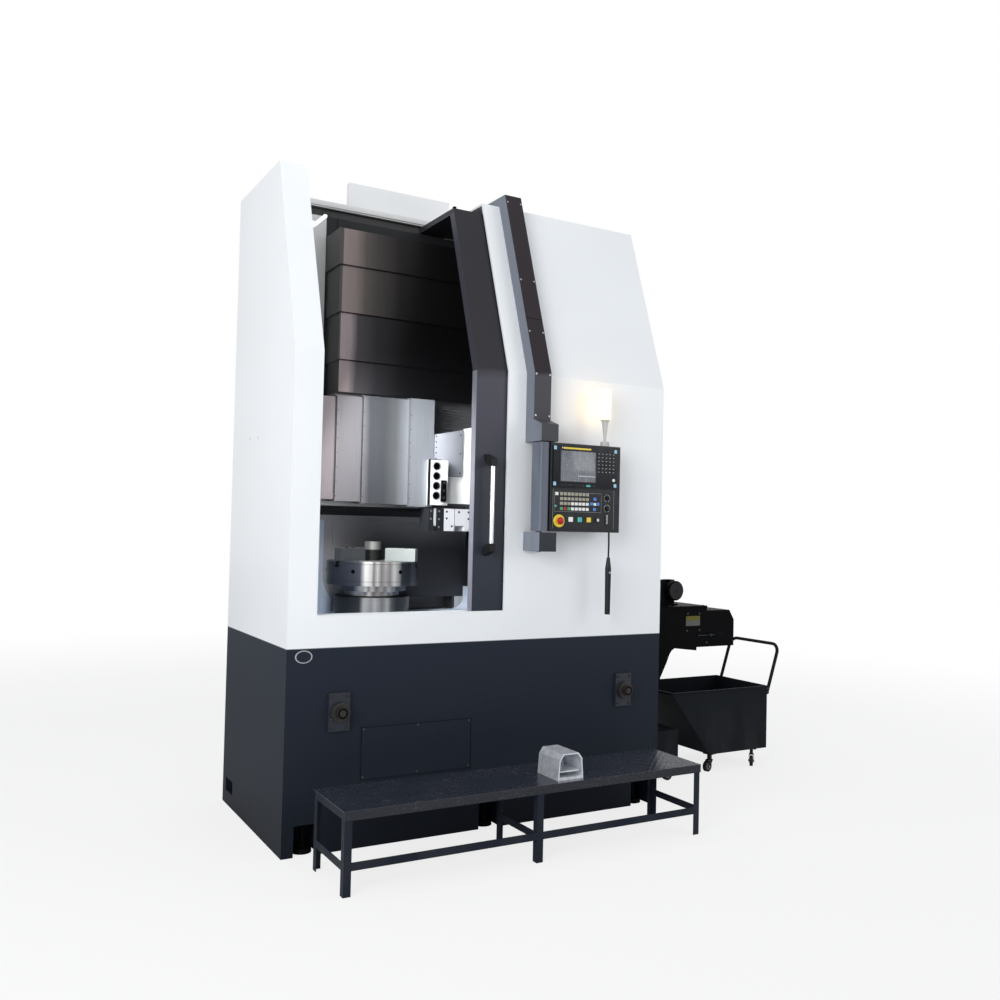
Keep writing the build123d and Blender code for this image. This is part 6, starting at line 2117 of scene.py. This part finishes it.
@dataclass(frozen=True)
class CoverFittings:
    """Wiper strips and rivets on the telescopic covers.

    Attributes:
        step: How far each level cover stands before the last.
        first_front: Depth of the first level cover's face.
        low: Lower end of the rivet rows.
        high: Upper end of the rivet rows.
        rows: Number of rivets in a row.
        wiper: Thickness of a wiper strip.
    """

    step: float = 0.009
    first_front: float = -0.045
    low: float = 1.765
    high: float = 2.245
    rows: int = 7
    wiper: float = 0.0012

    def build(self) -> None:
        """Build the covers' fittings."""
        span = self.high - self.low
        heights = [self.low + span * row / (self.rows - 1) for row in range(self.rows)]
        side_bodies = (Body.INNER_SIDE_COVER, Body.OUTER_SIDE_COVER, Body.TOOL_SLIDE)
        for index, body in enumerate(side_bodies, 1):
            low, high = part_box(f"x_cover_{index + 1}")
            front = self.first_front - self.step * index
            finish = Finish.ZINC if body is Body.TOOL_SLIDE else Finish.DARK_SCREW
            strip = Solid().block(
                (low.x, front - self.wiper, low.z + 0.004), (low.x + 0.006, front, high.z - 0.004)
            )
            strip.done(f"side_wiper_{index}", finish, body, "stainless")
            places = [(low.x + 0.012, front, z) for z in heights]
            rivets = Screws(0.0028, 0.001, body=body, slot="stainless")
            rivets.build(f"side_rivets_{index}", places)
        upper_bodies = (Body.HOUSING, Body.UPPER_COVER, Body.MIDDLE_COVER)
        for index, body in enumerate(upper_bodies, 1):
            low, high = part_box(f"z_cover_{index}")
            strip = Solid().block(
                (low.x + 0.003, low.y - self.wiper, low.z), (high.x - 0.003, low.y, low.z + 0.0045)
            )
            strip.done(f"upper_wiper_{index}", Finish.DARK_GAP, body, "black_rubber")


@dataclass(frozen=True)
class GuardFittings:
    """Screws and lines of the splash guard behind the chuck.

    Attributes:
        face: Depth of the guard's face.
        row: Height of the screw row near its top.
        left: Place of the first screw.
        pitch: Distance from screw to screw.
        count: Number of screws.
    """

    face: float = 0.2785
    row: float = 1.612
    left: float = -0.34
    pitch: float = 0.070
    count: int = 16

    def build(self) -> None:
        """Build the guard's fittings."""
        places = [(self.left + self.pitch * index, self.face, self.row) for index in range(self.count)]
        Screws(0.0040, 0.002).build("guard_screws", places)
        line = Solid().block((0.568, self.face - 0.0006, 1.4075), (0.740, self.face, 1.4105))
        line.done("guard_seam", Finish.DARK_GAP, Body.HOUSING, "dark_paint")


@dataclass(frozen=True)
class Conveyor:
    """Blank label, bolts, slot, latch, edges and motor parts of the chip conveyor.

    Attributes:
        face: Depth of its near side.
        cover: Left and right end of the head box's cover.
        motor_x: Place of the motor's middle.
        motor_z: Height of the motor's middle.
    """

    face: float = -0.170
    cover: Flat = (2.02, 2.372)
    motor_x: float = 2.136
    motor_z: float = 1.212

    def build(self) -> None:
        """Build the conveyor's fittings."""
        self.side()
        self.motor()

    def side(self) -> None:
        """Label, bolts, slot, latch and folded edges of the head box."""
        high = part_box("conveyor_body")[1]
        upper = Solid().block((2.189, self.face - 0.0015, 1.012), (2.311, self.face, 1.044))
        upper.done("conveyor_label_top", Finish.OCHRE_PLATE, Body.HOUSING, "black_oxide")
        lower = Solid().block((2.189, self.face - 0.0015, 0.979), (2.311, self.face, 1.012))
        lower.done("conveyor_label", Finish.LABEL, Body.HOUSING, "black_oxide")
        places = [(2.204, 1.062), (2.305, 1.059), (2.198, 0.947), (2.307, 0.949), (2.372, 0.862)]
        bolts = Screws(0.008, 0.005)
        bolts.build("conveyor_bolts", [(x, self.face, z) for x, z in places])
        far = Screws(0.008, 0.005, (0.0, 1.0, 0.0))
        far.build("conveyor_far_bolts", [(x, high.y, z) for x, z in places])
        slot = Solid().block((2.442, self.face - 0.0012, 0.899), (2.547, self.face, 0.941), 0.001, 1)
        slot.done("conveyor_slot_rim", Finish.BLACK, Body.HOUSING, "black_oxide")
        latch = Solid().round((2.285, self.face - 0.010, 0.913), Facing.RIGHT, 0.004, 0.150, 12)
        latch.round((2.385, self.face - 0.010, 0.913), Facing.RIGHT, 0.011, 0.018, 20, bevel=0.002)
        latch.block((2.290, self.face - 0.012, 0.907), (2.300, self.face, 0.919), 0.001, 1)
        latch.done("conveyor_latch", Finish.BLACK_PLASTIC, Body.HOUSING, "black_oxide")
        # Painted shade: a dark sheet inside the slot's rim stands for the opening.
        gap = Solid().block((2.449, self.face - 0.0018, 0.905), (2.540, self.face, 0.935))
        gap.done("conveyor_slot", Finish.DARK_GAP, Body.HOUSING, "black_oxide")
        top, (left, right) = high.z, self.cover
        edge = Solid()
        for near, far in ((self.face - 0.006, self.face + 0.002), (high.y - 0.002, high.y + 0.006)):
            edge.block((left, near, top - 0.012), (right, far, top), 0.002, 1)
        edge.done("conveyor_cover_edges", Finish.BLACK, Body.HOUSING, "black_oxide")
        sides = (self.face + 0.015, high.y - 0.015)
        screws = [(x, y, top) for x in (2.06, 2.16, 2.26, 2.35) for y in sides]
        Screws(0.006, 0.004, Facing.UP).build("conveyor_cover_screws", screws)

    def motor(self) -> None:
        """Cowl grille and terminal box of the gear motor."""
        low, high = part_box("conveyor_motor")
        x, front = self.motor_x, low.y
        grille = Solid()
        for inner in (0.012, 0.024, 0.036, 0.048):
            outer = inner + 0.005
            ring = [(inner, -0.001), (inner, 0.0004), (outer, 0.0004), (outer, -0.001), (inner, -0.001)]
            grille.turned(ring, (x, front, self.motor_z), Facing.FRONT, 36)
        grille.done("motor_grille", Finish.DARK_SCREW, Body.HOUSING, "black_oxide")
        box = Solid().block(
            (x - 0.030, front + 0.055, high.z - 0.012), (x + 0.030, front + 0.115, high.z), 0.003
        )
        box.done("motor_terminal_box", Finish.BLACK, Body.HOUSING, "black_oxide")


@dataclass(frozen=True)
class CartFittings:
    """Rolled rim, round handle and its clamps.

    Attributes:
        rim: Width of the rolled rim.
        tube: Radius of the handle's tube.
        bend: Radius of its two bends.
        inset: Distance of its legs from the cart's sides.
        foot_drop: How far its feet reach below the cart's rim.
    """

    rim: float = 0.004
    tube: float = 0.0115
    bend: float = 0.062
    inset: float = 0.016
    foot_drop: float = 0.062

    def build(self) -> None:
        """Build the cart's fittings."""
        low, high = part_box("cart_bin")
        rim, top = self.rim, high.z
        edge = Solid()
        edge.block((low.x - 0.002, low.y - rim, top - 0.012), (high.x, low.y, top), 0.003)
        edge.block((low.x - 0.002, high.y, top - 0.012), (high.x, high.y + rim, top), 0.003)
        edge.block((low.x - rim, low.y, top - 0.012), (low.x, high.y, top), 0.003)
        edge.done("cart_rim", Finish.CART, Body.HOUSING, "black_oxide")
        self.handle(low, high)

    def handle(self, low: Vector, high: Vector) -> None:
        """Round tube in the place of the many-sided one.

        Args:
            low: Lowest corner of the bin.
            high: Highest corner of the bin.
        """
        tube_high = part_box("cart_handle")[1]
        foot_x = high.x + 0.0128
        top_x, top_z = tube_high.x - 0.0125, tube_high.z - 0.0125
        near, far = low.y + self.inset, high.y - self.inset
        foot_z = high.z - self.foot_drop
        foot = Vector((foot_x, far, foot_z))
        corner_far, corner_near = Vector((top_x, far, top_z)), Vector((top_x, near, top_z))
        path = [foot]
        path += self._bend(foot, corner_far, corner_near)
        path += self._bend(corner_far, corner_near, Vector((foot_x, near, foot_z)))
        path.append(Vector((foot_x, near, foot_z)))
        tube = Solid().tube(path, self.tube, 20)
        piece = tube.done("cart_handle_tube", Finish.CART, Body.HOUSING, "black_oxide", 0.8)
        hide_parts("cart_handle")
        clamps = Solid()
        start, end = high.x - 0.001, foot_x + 0.006
        for y in (near, far):
            for z in (high.z - 0.050, high.z - 0.022):
                clamps.block((start, y - 0.018, z - 0.006), (end, y + 0.018, z + 0.006), 0.002)
        clamps.done("cart_handle_clamps", Finish.DARK_SCREW, Body.HOUSING, "black_oxide")

    def _bend(self, before: Vector, corner: Vector, after: Vector, steps: int = 10) -> list[Vector]:
        """Points of an arc that rounds a corner of the tube.

        Args:
            before: The point before the corner.
            corner: The corner.
            after: The point after it.
            steps: Steps of the arc.

        Returns:
            The arc's points.
        """
        back, on = (before - corner).normalized(), (after - corner).normalized()
        half = back.angle(on) / 2
        reach = self.bend / math.tan(half)
        centre = corner + (back + on).normalized() * (self.bend / math.sin(half))
        start = (corner + back * reach - centre).normalized()
        end = (corner + on * reach - centre).normalized()
        return [centre + start.slerp(end, step / steps) * self.bend for step in range(steps + 1)]


@dataclass(frozen=True)
class Wheels:
    """Hubs and axle nuts of the casters.

    Attributes:
        spots: Place and turn in degrees of each caster's plate.
        trail: Distance from the plate's middle to the axle.
        radius: Radius of a wheel.
        half: Half of a wheel's width.
    """

    spots: tuple[Point, ...]
    trail: float = 0.024
    radius: float = 0.036
    half: float = 0.011

    def build(self) -> None:
        """Build the hubs and the nuts."""
        hubs, nuts = Solid(), Solid()
        for x, y, degrees in self.spots:
            turn = math.radians(degrees)
            along = Vector((math.cos(turn), math.sin(turn), 0.0))
            across = Vector((-math.sin(turn), math.cos(turn), 0.0))
            middle = Vector((x, y, self.radius)) - along * self.trail
            for side in (-1.0, 1.0):
                out = across * side
                hubs.round(tuple(middle + out * self.half), tuple(out), 0.022, 0.0012, 24)
                nuts.round(tuple(middle + out * (self.half + 0.005)), tuple(out), 0.0075, 0.005, 6)
        hubs.done("wheel_hubs", Finish.GREY_RUBBER, Body.HOUSING, "black_rubber")
        nuts.done("wheel_nuts", Finish.ZINC, Body.HOUSING, "dark_steel")


@dataclass(frozen=True)
class BenchFittings:
    """Skirt bolts and worn bright edges of the step bench.

    Attributes:
        legs: Places of the legs across the bench.
        bolt_drop: Distance of the bolts below the tread.
    """

    legs: tuple[float, ...] = (-0.573, 0.405, 1.397)
    bolt_drop: float = 0.030

    def build(self) -> None:
        """Build the bench's fittings."""
        low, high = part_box("bench_tread")
        places = [(x, low.y + 0.0036, high.z - self.bolt_drop) for x in self.legs]
        Screws(0.006, 0.004).build("bench_skirt_bolts", places)
        back = [(x, high.y, high.z - self.bolt_drop) for x in self.legs]
        Screws(0.006, 0.004, (0.0, 1.0, 0.0)).build("bench_back_bolts", back)
        near = (low.x, low.y - 0.0004, high.z - 0.0022)
        edge = Solid().block(near, (high.x, low.y + 0.0012, high.z + 0.0003), 0.0006, 1)
        edge.done("bench_worn_edge", Finish.DARK_SCREW, Body.HOUSING, "frame_paint")


# The finish of each solid of the frame
DRESSING: dict[Finish, tuple[str, ...]] = {
    Finish.WHITE: ("left_wall", "sill_panel", "right_front_panel"),
    Finish.WHITE_SHADED: ("right_side_panel", "roof_panel"),
    Finish.BASE: ("base_cover",),
    Finish.BLACK: ("levelling_feet", "conveyor_body", "conveyor_motor"),
    Finish.BRACKET: ("lift_brackets",),
    Finish.CART: ("coolant_tank", "cart_bin", "cart_handle"),
    Finish.RUBBER: ("casters",),
    Finish.CABINET: ("inner_cabinet",),
    Finish.COLUMN: ("rear_column",),
    Finish.TUB: ("chip_tub",),
    Finish.BEAM: ("roof_beam",),
    Finish.UPPER_SHEET: ("z_cover_1", "z_cover_2"),
    Finish.LOWER_SHEET: ("z_cover_3", "z_cover_4"),
    Finish.LAMP_BAR: ("work_lamp",),
    Finish.TURNED: ("chuck_body",),
    Finish.DRUM: ("spindle_drum",),
    Finish.BLUED: ("chuck_jaw_2", "chuck_jaw_3"),
    Finish.JAW_BRIGHT: ("chuck_jaw_1",),
    Finish.HEAD: ("tool_head",),
    Finish.BLOCK_STEEL: ("tool_block",),
    Finish.HOLDER: ("tool_holders",),
    Finish.GUIDE: ("cross_rail",),
    Finish.SIDE_SHEET: ("x_cover_1", "x_cover_2", "x_cover_3", "x_cover_4"),
    Finish.DOOR: ("door_panel",),
    Finish.HANDLE: ("door_handle",),
    Finish.ARM: ("pendant_arm",),
    Finish.SWIVEL: ("swivel_column",),
    Finish.BLACK_PLASTIC: ("pendant_box", "hand_unit", "hand_unit_cord"),
    Finish.RED_PLASTIC: ("emergency_button",),
    Finish.LAMP: ("signal_lamp",),
    Finish.TREAD: ("bench_tread",),
    Finish.BENCH: ("bench_frame",),
    Finish.CAST: ("foot_switch_guard", "foot_pedal"),
}


def dress_solids() -> None:
    """Give every solid of the frame its finish."""
    for finish, nodes in DRESSING.items():
        for node in nodes:
            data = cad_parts[node].data
            data.materials.clear()
            data.materials.append(finish.build())


def main() -> None:
    """Build the studio, dress the solids and add the small pieces."""
    logging.basicConfig(level=logging.INFO, format="%(name)s: %(message)s")
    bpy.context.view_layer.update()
    Studio().build()
    HandCable().build()
    dress_solids()
    tank_casters = tuple((x, y, 0.0) for x in (1.7053, 2.0043) for y in (-0.252, 0.242))
    cart_casters = ((2.399, -0.190, 12.0), (2.783, -0.190, 45.0), (2.403, 0.242, 15.0), (2.783, 0.242, 60.0))
    for assembly in (
        Housing(),
        LiftPoints(),
        ArmFittings(),
        DisplayUnit(),
        KeyPanel(),
        StopButton(),
        SignalLight(),
        HandUnitFittings(),
        HeadFittings(),
        ChuckFittings(),
        CoverFittings(),
        GuardFittings(),
        Conveyor(),
        CartFittings(),
        Wheels(tank_casters + cart_casters),
        BenchFittings(),
    ):
        log.info("building %s", type(assembly).__name__)
        assembly.build()


if __name__ == "__main__":
    main()
